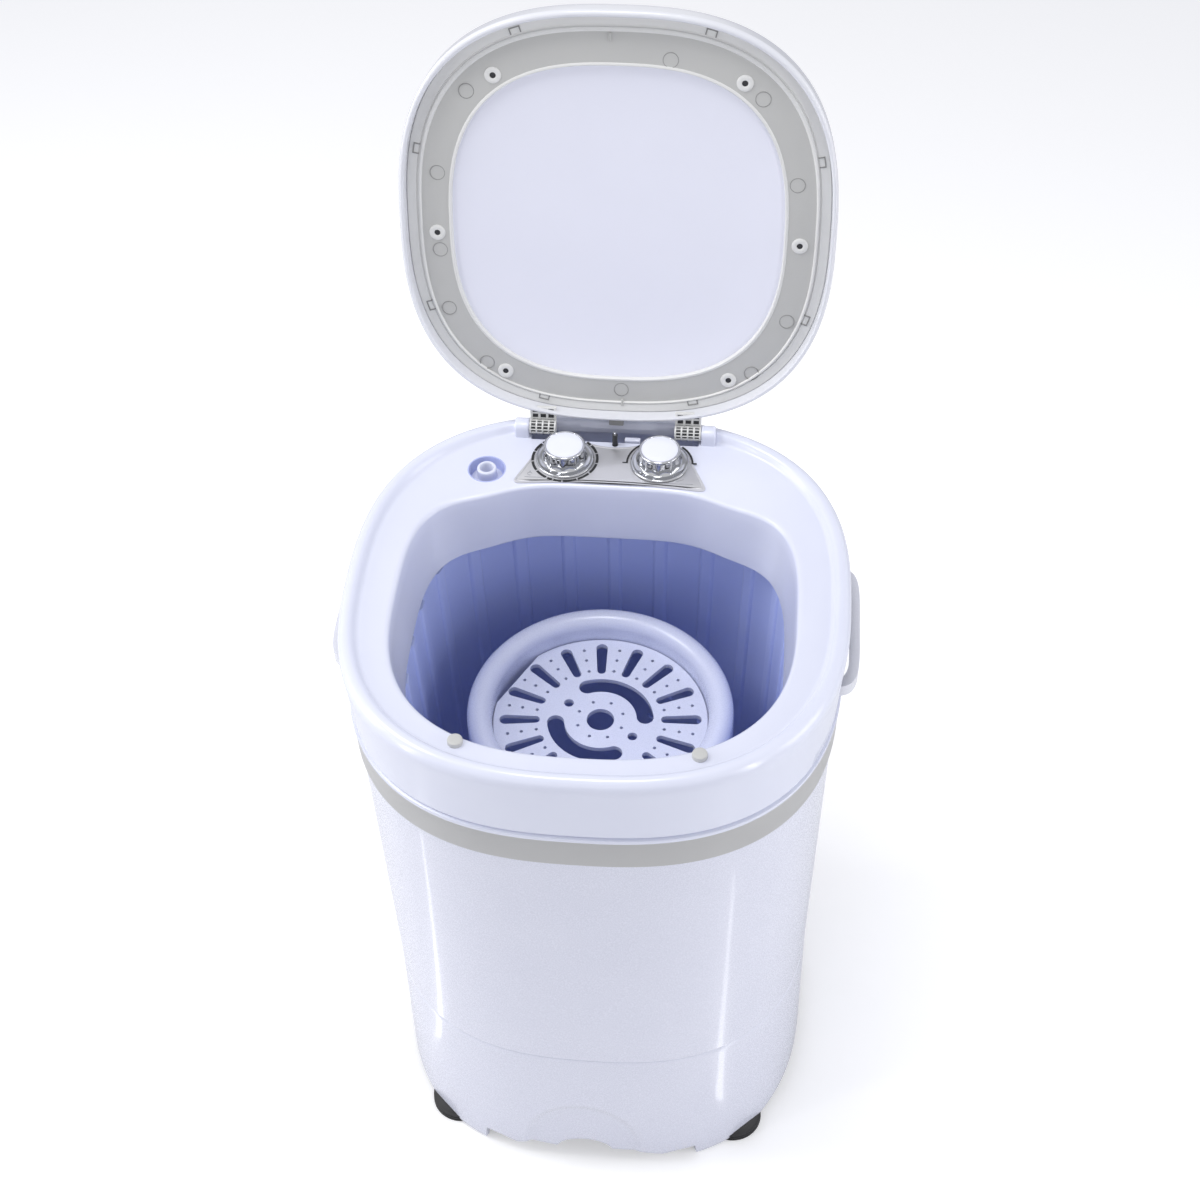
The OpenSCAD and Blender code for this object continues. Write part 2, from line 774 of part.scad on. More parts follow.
module wash_tub() {
    top = tub_w / 2;
    low = tub_low_w / 2;
    color("#7482c4") difference() {
        loft([
            tub_ring(tub_low_z, low + tub_wall, panel_step),
            tub_ring(flange_z, top + tub_wall, panel_step),
            tub_ring(flange_z, top, panel_step),
            tub_ring(tub_floor_z, low, panel_step)
        ], false);
        translate([0, 0, tub_low_z - lap])
            cylinder(d = seal_d + 2 * run_fit, h = tub_floor_t + 2 * lap, $fn = round_sides);
        translate([-drain_x, 0, tub_low_z - lap])
            cylinder(d = drain_d, h = tub_floor_t + 2 * lap, $fn = round_sides);
    }
}

// Flange that the tub hangs from, clamped between the casing and the collar
module tub_flange() {
    rim = casing_top_a - lap;
    color("#7482c4") translate([0, 0, flange_z]) linear_extrude(flange_t) difference() {
        polygon(flat(plan_ring(0, rim, rim - casing_less / 2, plan_power)));
        polygon(flat(tub_ring(0, tub_w / 2, panel_step)));
    }
}

module bearing_housing() {
    h = tub_low_z - housing_low_z;
    color("#7482c4") translate([0, 0, housing_low_z]) difference() {
        cylinder(d = housing_d, h = h, $fn = round_sides);
        translate([0, 0, -eps])
            cylinder(d = bearing_d + 2 * run_fit, h = h - seal_h, $fn = round_sides);
        translate([0, 0, h - seal_h - lap])
            cylinder(d = seal_d + 2 * run_fit, h = seal_h + 2 * lap, $fn = round_sides);
    }
}

module tub_posts() {
    color("#7482c4") at_posts() translate([0, 0, post_low_z]) difference() {
        cylinder(d = stand_d, h = tub_low_z - post_low_z, $fn = round_sides);
        translate([0, 0, -eps])
            cylinder(d = bolt_d + 2 * run_fit, h = bolt_l - bracket_t + 2, $fn = round_sides);
    }
}

// Stand-offs under the tub that carry the drive bracket
stand_d = 16;
stand_x = 34;
post_low_z = motor_z;
seal_d = 26;
bolt_d = 5;
bolt_l = 22;

module at_posts() {
    for (x = [-stand_x, stand_x], y = [-stand_x, bracket_back])
        translate([x, y, 0]) children();
}

bracket_back = motor_y - motor_d / 2 - stand_d / 2 - 2;

module bracket_bolts() {
    color("#9a9ca0") at_posts() {
        translate([0, 0, bracket_z - 4]) cylinder(d = 10, h = 4, $fn = round_sides);
        translate([0, 0, bracket_z - eps]) cylinder(d = bolt_d, h = bolt_l, $fn = round_sides);
    }
}

// Half plan of a handle's bar, bowed outwards with rounded ends
function bar_plan(reach, half) = [
    for (i = [0 : bar_steps])
        let (t = 180 * i / bar_steps - 90)
        [reach * pow(cos(t), 2 / bar_power), half * signed_power(sin(t), 2 / bar_power)]
];

bar_steps = 36;

module side_handle() {
    x0 = collar_a - collar_draft - grip_d;
    reach = collar_a + bar_out - x0;
    face = plan_x(bar_l / 2 + handle_y - collar_wall) - lap;
    low = grip_z - grip_h / 2;
    translate([0, handle_y, 0]) {
        difference() {
            translate([x0, -bar_l / 2, low]) cube([face - x0, bar_l, grip_h]);
            translate([x0 + grip_wall, -bar_l / 2 + grip_wall, low + grip_wall])
                cube([collar_a, bar_l - 2 * grip_wall, grip_h - 2 * grip_wall]);
        }
        translate([x0 + eps, 0, grip_z - bar_h / 2]) linear_extrude(bar_h) difference() {
            polygon(bar_plan(reach, bar_l / 2));
            translate([-eps, 0]) polygon(bar_plan(reach - bar_t, bar_l / 2 - bar_leg));
        }
    }
}

// Half width of the collar's side at a distance y from the middle, at the handles' height
function plan_x(y) = let (a = collar_a - collar_draft)
    let (b = collar_b - collar_draft_front)
    a * pow(1 - pow(abs(y) / b, plan_power), 1 / plan_power);

module right_handle() {
    color("#dcdce0") side_handle();
}

module left_handle() {
    color("#dcdce0") mirror([1, 0, 0]) side_handle();
}

// Bumpers under the lid's front edge
bumper_d = 10.5;
bumper_x = 81;
bumper_in = 3.5;
bumper_y = bumper_in + lid_mid_y
    - plan_y(bumper_x, (lid_w - lid_wall) / 2, (lid_l - lid_wall) / 2, lid_power);

module lid_bumpers() {
    color("#d6d6d0") for (x = [-bumper_x, bumper_x])
        translate([x, bumper_y, deck_z])
            cylinder(d = bumper_d, h = rim_step - bumper_gap, $fn = round_sides);
}

module panel_outline() {
    front = 5;
    back = 11;
    difference() {
        hull() for (x = [-1, 1]) {
            translate([x * (panel_w / 2 - front), panel_front_y + front])
                circle(r = front, $fn = 32);
            translate([x * (panel_back_w / 2 - back), panel_front_y + panel_d - back])
                circle(r = back, $fn = 32);
        }
        translate([0, panel_front_y + panel_d + dip_r - dip]) circle(r = dip_r, $fn = 96);
    }
}

// Shallow dip in the panel's back edge
dip = 4;
dip_r = 60;

// Necks of the controls, which stand through the deck and the panel
neck_d = 12;

module control_panel() {
    color("#bfc0c4") translate([0, 0, deck_z]) linear_extrude(panel_t) difference() {
        panel_outline();
        for (x = [-knob_x, knob_x])
            translate([x, knob_y]) circle(d = neck_d + 2 * seat_gap, $fn = round_sides);
    }
}

module control_unit(w, d, h) {
    difference() {
        union() {
            translate([-w / 2, -d / 2, deck_low_z - h]) cube([w, d, h]);
            translate([0, 0, deck_low_z - eps])
                cylinder(d = neck_d, h = deck_t + panel_t - 0.2, $fn = round_sides);
        }
        translate([0, 0, deck_low_z - 10])
            cylinder(d = spindle_d + 2 * run_fit, h = 30, $fn = round_sides);
    }
}

unit_d = 36;
timer_unit_w = 52;
timer_unit_h = 30;
selector_unit_w = 40;
selector_unit_h = 22;

module timer_unit() {
    color("#e8e6dc") translate([-knob_x, knob_y, 0])
        control_unit(timer_unit_w, unit_d, timer_unit_h);
}

module selector_unit() {
    color("#33353a") translate([knob_x, knob_y, 0])
        control_unit(selector_unit_w, unit_d, selector_unit_h);
}

module spindle() {
    translate([0, 0, deck_low_z - 9.5])
        cylinder(d = spindle_d, h = knob_top_z - 5 - deck_low_z + 9.5, $fn = round_sides);
}

module timer_spindle() {
    color("#b9bbbf") translate([-knob_x, knob_y, 0]) spindle();
}

module selector_spindle() {
    color("#b9bbbf") translate([knob_x, knob_y, 0]) spindle();
}

// Chrome knob: a flange, a waisted skirt and a rim round the white cap
module knob_body() {
    grip = knob_d / 2;
    flange = knob_flange_d / 2;
    h = knob_top_z - knob_low_z;
    difference() {
        translate([0, 0, knob_low_z]) rotate_extrude($fn = round_sides) polygon([
            [0, 0], [flange, 0], [flange, 1.6], [flange - 1.2, 2.4], [grip + 1.6, 2.6],
            [grip + 0.6, 3.6], [grip, h - 1.2], [grip - 0.6, h], [0, h]
        ]);
        translate([0, 0, knob_low_z - eps])
            cylinder(d = spindle_d + 2 * run_fit, h = h - 4, $fn = round_sides);
        translate([0, 0, knob_top_z - cap_inset])
            cylinder(d = cap_disc_d + 2 * run_fit, h = 5, $fn = round_sides);
    }
}

cap_inset = 1.6;

module knob_cap() {
    translate([0, 0, knob_top_z - cap_inset])
        cylinder(d = cap_disc_d, h = cap_inset + 0.4, $fn = round_sides);
}

module timer_knob() {
    color("#d7d9dc") translate([-knob_x, knob_y, 0]) knob_body();
}

module selector_knob() {
    color("#d7d9dc") translate([knob_x, knob_y, 0]) knob_body();
}

module timer_knob_cap() {
    color("#f4f6ff") translate([-knob_x, knob_y, 0]) knob_cap();
}

module selector_knob_cap() {
    color("#f4f6ff") translate([knob_x, knob_y, 0]) knob_cap();
}

// Water inlet: a nozzle in the recess, and a spout under the deck that turns the water to the tub
nozzle_low_z = deck_z - inlet_well_h - 20;
nozzle_top_z = deck_z + 2;

module inlet_nozzle() {
    well_floor = deck_z - inlet_well_h;
    color("#e6e8f6") translate([-inlet_x, inlet_y, 0]) difference() {
        union() {
            translate([0, 0, nozzle_low_z])
                cylinder(d = nozzle_d, h = nozzle_top_z - nozzle_low_z, $fn = round_sides);
            translate([0, 0, well_floor])
                cylinder(d = inlet_well_d - 2 * loose_gap, h = 1.6, $fn = round_sides);
        }
        translate([0, 0, nozzle_low_z - eps])
            cylinder(d = nozzle_bore_d, h = nozzle_top_z - nozzle_low_z + 2 * eps, $fn = round_sides);
    }
}

module inlet_spout() {
    wall = 2;
    outer = nozzle_d + 2 * run_fit + 2 * wall;
    top = deck_z - inlet_well_h - well_wall;
    low = nozzle_low_z - 14;
    color("#c9cbd6") translate([-inlet_x, inlet_y, 0]) rotate([0, 0, -50]) difference() {
        union() {
            translate([0, 0, low]) cylinder(d = outer, h = top - low, $fn = round_sides);
            translate([0, 0, nozzle_low_z - 7]) rotate([0, 90, 0])
                cylinder(d = 12, h = 14, $fn = round_sides);
        }
        translate([0, 0, nozzle_low_z])
            cylinder(d = nozzle_d + 2 * run_fit, h = 30, $fn = round_sides);
        translate([0, 0, low + wall]) cylinder(d = nozzle_bore_d, h = 20, $fn = round_sides);
        translate([0, 0, nozzle_low_z - 7]) rotate([0, 90, 0])
            cylinder(d = 8, h = 15, $fn = round_sides);
    }
}

// Lid switch under the deck, and the plunger that the lid's rear wall presses
switch_h = 14;
switch_w = 18;
switch_d = 10;
switch_top_z = deck_low_z - well_depth;
plunger_top_z = lid_low_z + plunger_travel - 0.7;
plunger_low_z = switch_top_z - 1;

module lid_switch() {
    color("#26272b") translate([switch_x, switch_y, 0]) difference() {
        translate([-switch_w / 2, -switch_d / 2, switch_top_z - switch_h])
            cube([switch_w, switch_d, switch_h]);
        translate([0, 0, switch_top_z - switch_h + 3])
            cylinder(d = plunger_d + 2 * run_fit, h = 30, $fn = round_sides);
    }
}

module lid_plunger() {
    color("#cfd1d4") translate([switch_x, switch_y, plunger_low_z])
        cylinder(d = plunger_d, h = plunger_top_z - plunger_low_z, $fn = round_sides);
}

function lid_ring(z, inset, shift = 0) =
    plan_ring(z, lid_w / 2 - inset, lid_l / 2 - inset, lid_power, lid_mid_y + shift);

module lid_shell() {
    edge = 4;
    hole = frame_in - window_lap;
    color("#eceef4") open_lid() difference() {
        shell_surface(edge, hole);
        both_sides() knuckle_arm(seat_gap / 2);
    }
}

module shell_surface(edge, hole) {
    loft([
        lid_ring(lid_low_z, 0.6),
        lid_ring(lid_low_z + 1, 0),
        lid_ring(lid_top_z - edge, 0.6),
        lid_ring(lid_top_z - 1, edge / 2),
        lid_ring(lid_top_z, edge + 1),
        lid_ring(lid_top_z + crown, frame_in - window_lap - lap, frame_shift),
        lid_ring(lid_top_z + crown, hole, frame_shift),
        lid_ring(lid_plate_z, hole, frame_shift),
        lid_ring(lid_plate_z, lid_wall + 1),
        lid_ring(lid_low_z, lid_wall)
    ], true);
}

// Rise of the lid's top towards the window
crown = 1.5;

// Bevel along the outside of the inner frame and inside the window's edge
frame_bevel = 6;
window_bevel = 8;

module lid_inner_frame() {
    step = 1.2;
    color("#bdbdb8") open_lid() difference() {
        loft([
            lid_ring(frame_low_z, frame_out + frame_bevel, frame_shift),
            lid_ring(frame_low_z + step, frame_out, frame_shift),
            lid_ring(lid_plate_z, frame_out, frame_shift),
            lid_ring(lid_plate_z, frame_in - window_lap - lap, frame_shift),
            lid_ring(lid_plate_z - window_t, frame_in - window_lap - lap, frame_shift),
            lid_ring(lid_plate_z - window_t, frame_in, frame_shift),
            lid_ring(frame_low_z, frame_in, frame_shift)
        ], true);
        at_lid_screws() translate([0, 0, frame_low_z - loose_gap])
            cylinder(d = lid_screw_d + 2 * run_fit, h = lid_h, $fn = round_sides);
    }
}

module lid_window() {
    edge = frame_in - window_lap - lap + seat_gap;
    hole = frame_in - window_lap + seat_gap;
    top = lid_top_z + crown + lap;
    color("#dfe1f2") open_lid() loft([
        lid_ring(top - window_t, hole + window_bevel, frame_shift),
        lid_ring(lid_plate_z - window_t, edge + window_bevel, frame_shift),
        lid_ring(lid_plate_z - window_t, edge, frame_shift),
        lid_ring(lid_plate_z, edge, frame_shift),
        lid_ring(lid_plate_z, hole, frame_shift),
        lid_ring(lid_top_z + crown, hole, frame_shift),
        lid_ring(top, hole + window_bevel, frame_shift)
    ], false);
}

lid_screw_d = 3;

// The six screws of the inner frame, three a side: where each lies on the frame's plan,
// as an angle from the middle, and how far in from the lid's edge
lid_screw_turns = [-54, 1.3, 57.3];
lid_screw_insets = [26.6, 25.3, 22.7];

module at_lid_screws() {
    for (side = [-1, 1], k = [0 : 2]) {
        turn = lid_screw_turns[k];
        x = (lid_w / 2 - lid_screw_insets[k]) * signed_power(cos(turn), 2 / lid_power);
        y = (lid_l / 2 - lid_screw_insets[k]) * signed_power(sin(turn), 2 / lid_power);
        translate([side * x, lid_mid_y + frame_shift + y, 0]) children();
    }
}

module lid_screws() {
    head = 6;
    color("#7d7f84") open_lid() at_lid_screws() {
        translate([0, 0, frame_low_z - 1.2]) cylinder(d = head, h = 1.2, $fn = round_sides);
        translate([0, 0, frame_low_z - eps])
            cylinder(d = lid_screw_d, h = lid_plate_z - frame_low_z - 0.4, $fn = round_sides);
    }
}

// Arm of a knuckle, which passes through the shell's rear wall
module knuckle_arm(gap) {
    back = hinge_reach + lid_wall + 5;
    translate([lug_x - seat_gap - knuckle_w - gap, hinge_y - back - gap, hinge_z + 2 - gap])
        cube([knuckle_w + 2 * gap, back + gap, knuckle_d / 2 - 2 + 2 * gap]);
}

module lid_knuckles() {
    x = lug_x - seat_gap - knuckle_w;
    color("#a9a9a6") open_lid() both_sides() difference() {
        union() {
            translate([x, hinge_y, hinge_z]) rotate([0, 90, 0])
                cylinder(d = knuckle_d, h = knuckle_w, $fn = round_sides);
            knuckle_arm(0);
        }
        translate([x - 1, hinge_y, hinge_z]) rotate([0, 90, 0])
            cylinder(d = pin_d + 2 * run_fit, h = knuckle_w + 2, $fn = round_sides);
    }
}

module hinge_pins() {
    color("#b9bbbf") both_sides() translate([lug_x - knuckle_w, hinge_y, hinge_z])
        rotate([0, 90, 0]) cylinder(d = pin_d, h = knuckle_w + lug_w - 2.5, $fn = round_sides);
}

module lid_switch_tab() {
    w = 11;
    color("#8f9092") open_lid() translate([switch_x - w / 2, lid_rear_y, lid_low_z + 3])
        cube([w, 5, 6]);
}

module balance_ring() {
    outer = ring_d / 2;
    inner = ring_in_d / 2;
    mid = (outer + inner) / 2;
    half = (outer - inner) / 2;
    color("#dcdff4") difference() {
        union() {
            translate([0, 0, ring_z - half]) rotate_extrude($fn = 96)
                translate([mid, 0]) circle(r = half, $fn = 48);
            translate([0, 0, ring_z - ring_h]) tube(2 * outer, 2 * inner, ring_h - half);
            difference() {
                translate([0, 0, press_z - seat_gap - ledge_t])
                    tube(ring_in_d + 2, ring_in_d - 2 * ledge_w, ledge_t);
                rotate([0, 0, cut_turn]) translate([press_r - press_cut - lap, -inner, press_z - ledge_t - lap])
                    cube([outer, 2 * inner, ledge_t + 2 * lap]);
            }
        }
        translate([0, 0, ring_z - ring_h - 1])
            tube(basket_d + 2 * seat_gap, basket_d - 2 * basket_wall - 2 * loose_gap, ring_seat + 1);
    }
}

// Ledge inside the ring, which carries the press plate and stops at the plate's straight cut
ledge_w = 4;
ledge_t = 2.7;

// How far the basket's wall stands into the balance ring
ring_seat = 8;

// Distance of the lowest row of holes from the basket's floor, and of the highest from its top
hole_low = 24;
hole_high = 16;

module spin_basket() {
    top_z = ring_z - ring_h + ring_seat - seat_gap;
    h = top_z - basket_z;
    top_r = basket_d / 2;
    low_r = basket_low_d / 2;
    wall = basket_wall;
    pitch = (h - hole_low - hole_high) / (basket_rows - 1);
    socket = hub_d + 2 * seat_gap;
    function hole_r(level) = low_r + (top_r - low_r) * level / h - wall / 2;
    color("#dcdff4") difference() {
        union() {
            translate([0, 0, basket_z]) rotate_extrude($fn = 96) polygon([
                [0, 0], [low_r - 4, 0], [low_r, 4], [top_r, h], [top_r - wall, h],
                [low_r - wall, 5], [low_r - wall - 3, 3], [0, 3]
            ]);
            translate([0, 0, basket_z]) cylinder(d = post_d, h = post_h, $fn = round_sides);
        }
        translate([0, 0, basket_z - eps])
            cylinder(d = socket, h = hub_top_z - basket_z + seat_gap, $fn = round_sides);
        hub_keys(basket_z - eps, hub_top_z + seat_gap, seat_gap);
        for (row = [0 : basket_rows - 1], column = [0 : basket_columns - 1])
            rotate([0, 0, 360 * (column + row / 2) / basket_columns])
                translate([hole_r(hole_low + row * pitch), 0, basket_z + hole_low + row * pitch])
                    rotate([0, 90, 0])
                    cylinder(d = basket_hole_d, h = 4 * wall, center = true, $fn = 24);
    }
}

module slot_outline() {
    hull_in = slot_in_w / 2;
    hull_out = slot_out_w / 2;
    translate([slot_in_r, 0]) circle(r = hull_in, $fn = 32);
    translate([slot_out_r, 0]) circle(r = hull_out, $fn = 32);
    polygon([[slot_in_r, -hull_in], [slot_out_r, -hull_out], [slot_out_r, hull_out], [slot_in_r, hull_in]]);
}

module finger_outline() {
    inner = finger_r - finger_w / 2;
    outer = finger_r + finger_w / 2;
    steps = 24;
    polygon([
        for (k = [0 : steps]) let (t = finger_span * k / steps) [outer * cos(t), outer * sin(t)],
        for (k = [steps : -1 : 0]) let (t = finger_span * k / steps) [inner * cos(t), inner * sin(t)]
    ]);
    for (t = [0, finger_span])
        rotate(t) translate([finger_r, 0]) circle(d = finger_w, $fn = 32);
}

module press_plate() {
    small = 2.6;
    row_r = [slot_in_r, (slot_in_r + slot_out_r) / 2, slot_out_r - lap];
    color("#dcdff4") translate([0, 0, press_z]) linear_extrude(press_t) difference() {
        circle(r = press_r, $fn = 96);
        rotate(cut_turn) translate([press_r - press_cut, -press_r]) square([press_r, 2 * press_r]);
        circle(d = press_bore_d, $fn = round_sides);
        for (k = [0 : press_slots - 1]) rotate(360 * k / press_slots + slot_turn) slot_outline();
        for (k = [0 : press_slots - 1], r = row_r)
            rotate(360 * (k + 0.5) / press_slots + slot_turn) translate([r, 0]) circle(d = small, $fn = 16);
        for (k = [0 : 7]) rotate(45 * k + 22.5) translate([hub_row_r, 0]) circle(d = small, $fn = 16);
        for (k = [0, 180]) rotate(k + finger_turn) finger_outline();
        for (k = [0, 180]) rotate(k + peg_turn) translate([peg_r, 0]) circle(d = peg_d, $fn = 32);
    }
}

// Turn of the slots, the straight cut, the finger slots and the two round holes between them
slot_turn = 4;
cut_turn = 152;
finger_turn = 8;
peg_turn = 150;
peg_r = 29.5;
peg_d = 7.5;

// Radius of the ring of small holes round the centre hole
hub_row_r = 18;

hub_top_z = basket_z + post_h - 6;
key_w = 4;
key_out = 1.4;

// Three keys on the hub, which turn the basket
module hub_keys(low, high, gap) {
    for (k = [0 : 2]) rotate([0, 0, 120 * k + 30])
        translate([0, -key_w / 2 - gap, low])
            cube([hub_d / 2 + key_out + gap, key_w + 2 * gap, high - low]);
}

module pulsator() {
    r = pulsator_d / 2;
    color("#5f6cb4") difference() {
        union() {
            translate([0, 0, pulsator_z]) rotate_extrude($fn = 96) polygon([
                [0, 0], [r - 4, 0], [r, 2], [r, 3.5], [r - 6, pulsator_t], [0, pulsator_t]
            ]);
            translate([0, 0, pulsator_z]) cylinder(d = hub_d, h = hub_top_z - pulsator_z, $fn = round_sides);
            hub_keys(basket_z, hub_top_z - 2, 0);
            for (k = [0 : vanes - 1]) rotate([0, 0, 360 * k / vanes])
                translate([hub_d / 2 - 1, -3, pulsator_top_z - eps]) cube([r - hub_d / 2 - 9, 6, vane_h]);
        }
        translate([0, 0, pulsator_z - eps])
            cylinder(d = shaft_d + 2 * run_fit, h = shaft_top_z - pulsator_z + 0.5, $fn = round_sides);
        translate([0, 0, pulsator_z]) cylinder(d = hub_screw_d + 2 * run_fit, h = hub_top_z, $fn = round_sides);
        translate([0, 0, hub_top_z - head_h - 0.2])
            cylinder(d = head_d + 2 * seat_gap, h = head_h + 1, $fn = round_sides);
    }
}

shaft_top_z = hub_top_z - 8;
shaft_low_z = pulley_z - 8;

// Screw that holds the pulsator on its shaft, with its head sunk in the hub
hub_screw_d = 6;
head_d = 11;
head_h = 2.4;

module pulsator_screw() {
    head_z = hub_top_z - head_h - 0.2;
    color("#9a9ca0") {
        translate([0, 0, head_z]) cylinder(d = head_d, h = head_h, $fn = round_sides);
        translate([0, 0, shaft_top_z])
            cylinder(d = hub_screw_d, h = head_z - shaft_top_z + eps, $fn = round_sides);
    }
}

module drive_shaft() {
    color("#c4c6ca") translate([0, 0, shaft_low_z])
        cylinder(d = shaft_d, h = shaft_top_z - shaft_low_z, $fn = round_sides);
}

module bearing() {
    tube(bearing_d, shaft_d + 2 * run_fit, bearing_h);
}

module upper_bearing() {
    color("#aeb0b4") translate([0, 0, tub_low_z - seal_h - 1 - bearing_h - 0.5]) bearing();
}

module lower_bearing() {
    color("#aeb0b4") translate([0, 0, bracket_z]) bearing();
}

module shaft_seal() {
    color("#232325") translate([0, 0, tub_low_z - seal_h - 0.8])
        tube(seal_d, shaft_d + 2 * run_fit, seal_h);
}

module drive_bracket() {
    boss = bearing_d + 8;
    edge = stand_x + stand_d / 2 + 4;
    back = motor_y + motor_d / 2 - 6;
    color("#8d9096") difference() {
        union() {
            translate([-edge, -edge, bracket_z]) cube([2 * edge, edge + back, bracket_t]);
            translate([0, 0, bracket_z]) cylinder(d = boss, h = bearing_h + 2, $fn = round_sides);
        }
        translate([0, 0, bracket_z - eps])
            cylinder(d = bearing_d + 2 * run_fit, h = bearing_h + eps, $fn = round_sides);
        translate([0, 0, bracket_z]) cylinder(d = shaft_d + 4, h = 30, $fn = round_sides);
        translate([0, motor_y, bracket_z - eps])
            cylinder(d = motor_shaft_d + 8, h = 30, $fn = round_sides);
        at_posts() translate([0, 0, bracket_z - eps])
            cylinder(d = bolt_d + 2 * run_fit, h = bracket_t + 2 * eps, $fn = round_sides);
    }
}

// Grooved pulley, for a belt that runs on diameter d
module pulley(d, bore) {
    lip = 2;
    edge = d / 2 + pulley_lip;
    difference() {
        rotate_extrude($fn = 96) polygon([
            [0, 0], [edge, 0], [edge, lip - 0.5], [d / 2, lip], [d / 2, pulley_h - lip],
            [edge, pulley_h - lip + 0.5], [edge, pulley_h], [0, pulley_h]
        ]);
        translate([0, 0, -eps]) cylinder(d = bore + 2 * run_fit, h = pulley_h + 1, $fn = round_sides);
    }
}

module driven_pulley() {
    color("#55585e") translate([0, 0, pulley_z]) difference() {
        pulley(pulley_d, shaft_d);
        for (k = [0 : 4]) rotate([0, 0, 72 * k]) translate([pulley_d * 0.3, 0, -eps])
            cylinder(d = 18, h = pulley_h + 1, $fn = round_sides);
    }
}

module pulley_nut() {
    color("#9a9ca0") translate([0, 0, shaft_low_z]) difference() {
        cylinder(d = 20, h = 7.7, $fn = 6);
        translate([0, 0, -eps]) cylinder(d = shaft_d + 2 * run_fit, h = 9, $fn = round_sides);
    }
}

module belt_outline(grow) {
    hull() {
        circle(d = pulley_d + 2 * grow, $fn = 96);
        translate([0, motor_y]) circle(d = motor_pulley_d + 2 * grow, $fn = 64);
    }
}

module drive_belt() {
    color("#1f1f22") translate([0, 0, pulley_mid_z - belt_h / 2]) linear_extrude(belt_h) difference() {
        belt_outline(belt_t + seat_gap);
        belt_outline(seat_gap);
    }
}

module motor_case() {
    color("#7f8288") translate([0, motor_y, motor_z]) difference() {
        union() {
            cylinder(d = motor_d, h = motor_h, $fn = round_sides);
            translate([0, 0, motor_h - eps]) cylinder(d = 24, h = 3, $fn = round_sides);
        }
        translate([0, 0, -eps]) cylinder(d = motor_shaft_d + 2 * run_fit, h = motor_h - 10, $fn = round_sides);
    }
}

module motor_shaft() {
    low = pulley_z - 3;
    color("#c4c6ca") translate([0, motor_y, low])
        cylinder(d = motor_shaft_d, h = motor_z + motor_h - 12 - low, $fn = round_sides);
}

module motor_pulley() {
    color("#55585e") translate([0, motor_y, pulley_z]) pulley(motor_pulley_d, motor_shaft_d);
}

cap_x = 92;
cap_y = 64;

module capacitor() {
    color("#3f4350") translate([-cap_x, cap_y, plate_top_z]) {
        cylinder(d = cap_d, h = cap_h, $fn = round_sides);
        for (x = [-6, 6]) translate([x - 2, -0.6, cap_h - eps]) cube([4, 1.2, 6]);
    }
}

// Drain pipe from the tub's floor to the spigot at the back
spigot_out = 24;
spigot_l = 17;
pipe_d = spigot_d + 1;

module drain_pipe() {
    wall_y = plan_y(drain_x, base_a, base_a - casing_less / 2, plan_power);
    inner = spigot_d - 2 * drain_wall;
    end_y = wall_y + spigot_out;
    color("#55565c") difference() {
        union() {
            translate([-drain_x, 0, drain_z - spigot_d / 2])
                cylinder(d = spigot_d, h = tub_low_z - drain_z + spigot_d / 2, $fn = round_sides);
            translate([-drain_x, 0, drain_z]) rotate([-90, 0, 0])
                cylinder(d = pipe_d, h = end_y - spigot_l, $fn = round_sides);
            translate([-drain_x, 0, drain_z]) rotate([-90, 0, 0])
                cylinder(d = spigot_d, h = end_y, $fn = round_sides);
        }
        translate([-drain_x, 0, drain_z - spigot_d / 2 + drain_wall])
            cylinder(d = inner, h = tub_low_z, $fn = round_sides);
        translate([-drain_x, 0, drain_z]) rotate([-90, 0, 0])
            cylinder(d = inner, h = end_y + 1, $fn = round_sides);
    }
}

gland_x = 40;
gland_neck_d = 13;
gland_flange_d = 18;
gland_in = 12;
gland_out = 9;

module cord_gland() {
    near_x = gland_x - gland_flange_d / 2;
    face_y = plan_y(near_x, base_a, base_a - casing_less / 2, plan_power) + seat_gap;
    color("#2a2b2e") translate([gland_x, face_y, gland_z]) rotate([-90, 0, 0]) difference() {
        union() {
            translate([0, 0, -gland_in])
                cylinder(d = gland_neck_d, h = gland_in + gland_out, $fn = round_sides);
            cylinder(d = gland_flange_d, h = 3, $fn = round_sides);
        }
        translate([0, 0, -gland_in - eps])
            cylinder(d = gland_bore_d, h = gland_in + gland_out + 2 * eps, $fn = round_sides);
    }
}

top_collar();
opening_skirt();
outer_casing();
trim_band();
base_skirt();
base_plate();
feet();
wash_tub();
tub_flange();
bearing_housing();
tub_posts();
left_handle();
right_handle();
lid_bumpers();
control_panel();
timer_unit();
selector_unit();
timer_spindle();
selector_spindle();
timer_knob();
selector_knob();
timer_knob_cap();
selector_knob_cap();
inlet_nozzle();
inlet_spout();
lid_switch();
lid_plunger();
lid_shell();
lid_inner_frame();
lid_window();
lid_knuckles();
lid_screws();
lid_switch_tab();
hinge_pins();
balance_ring();
spin_basket();
press_plate();
pulsator();
pulsator_screw();
drive_shaft();
upper_bearing();
lower_bearing();
shaft_seal();
drive_bracket();
driven_pulley();
pulley_nut();
drive_belt();
motor_case();
motor_shaft();
motor_pulley();
capacitor();
drain_pipe();
cord_gland();
base_screws();
bracket_bolts();
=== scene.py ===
"""Looks of a portable washing machine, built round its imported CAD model.

Shapes are worked out in millimetres and become metres when a mesh is made. X runs to the right,
Y to the back and Z up; the origin is on the floor, on the drive axis.
"""
import json

import bmesh
import bpy
import numpy as np
from mathutils import Matrix


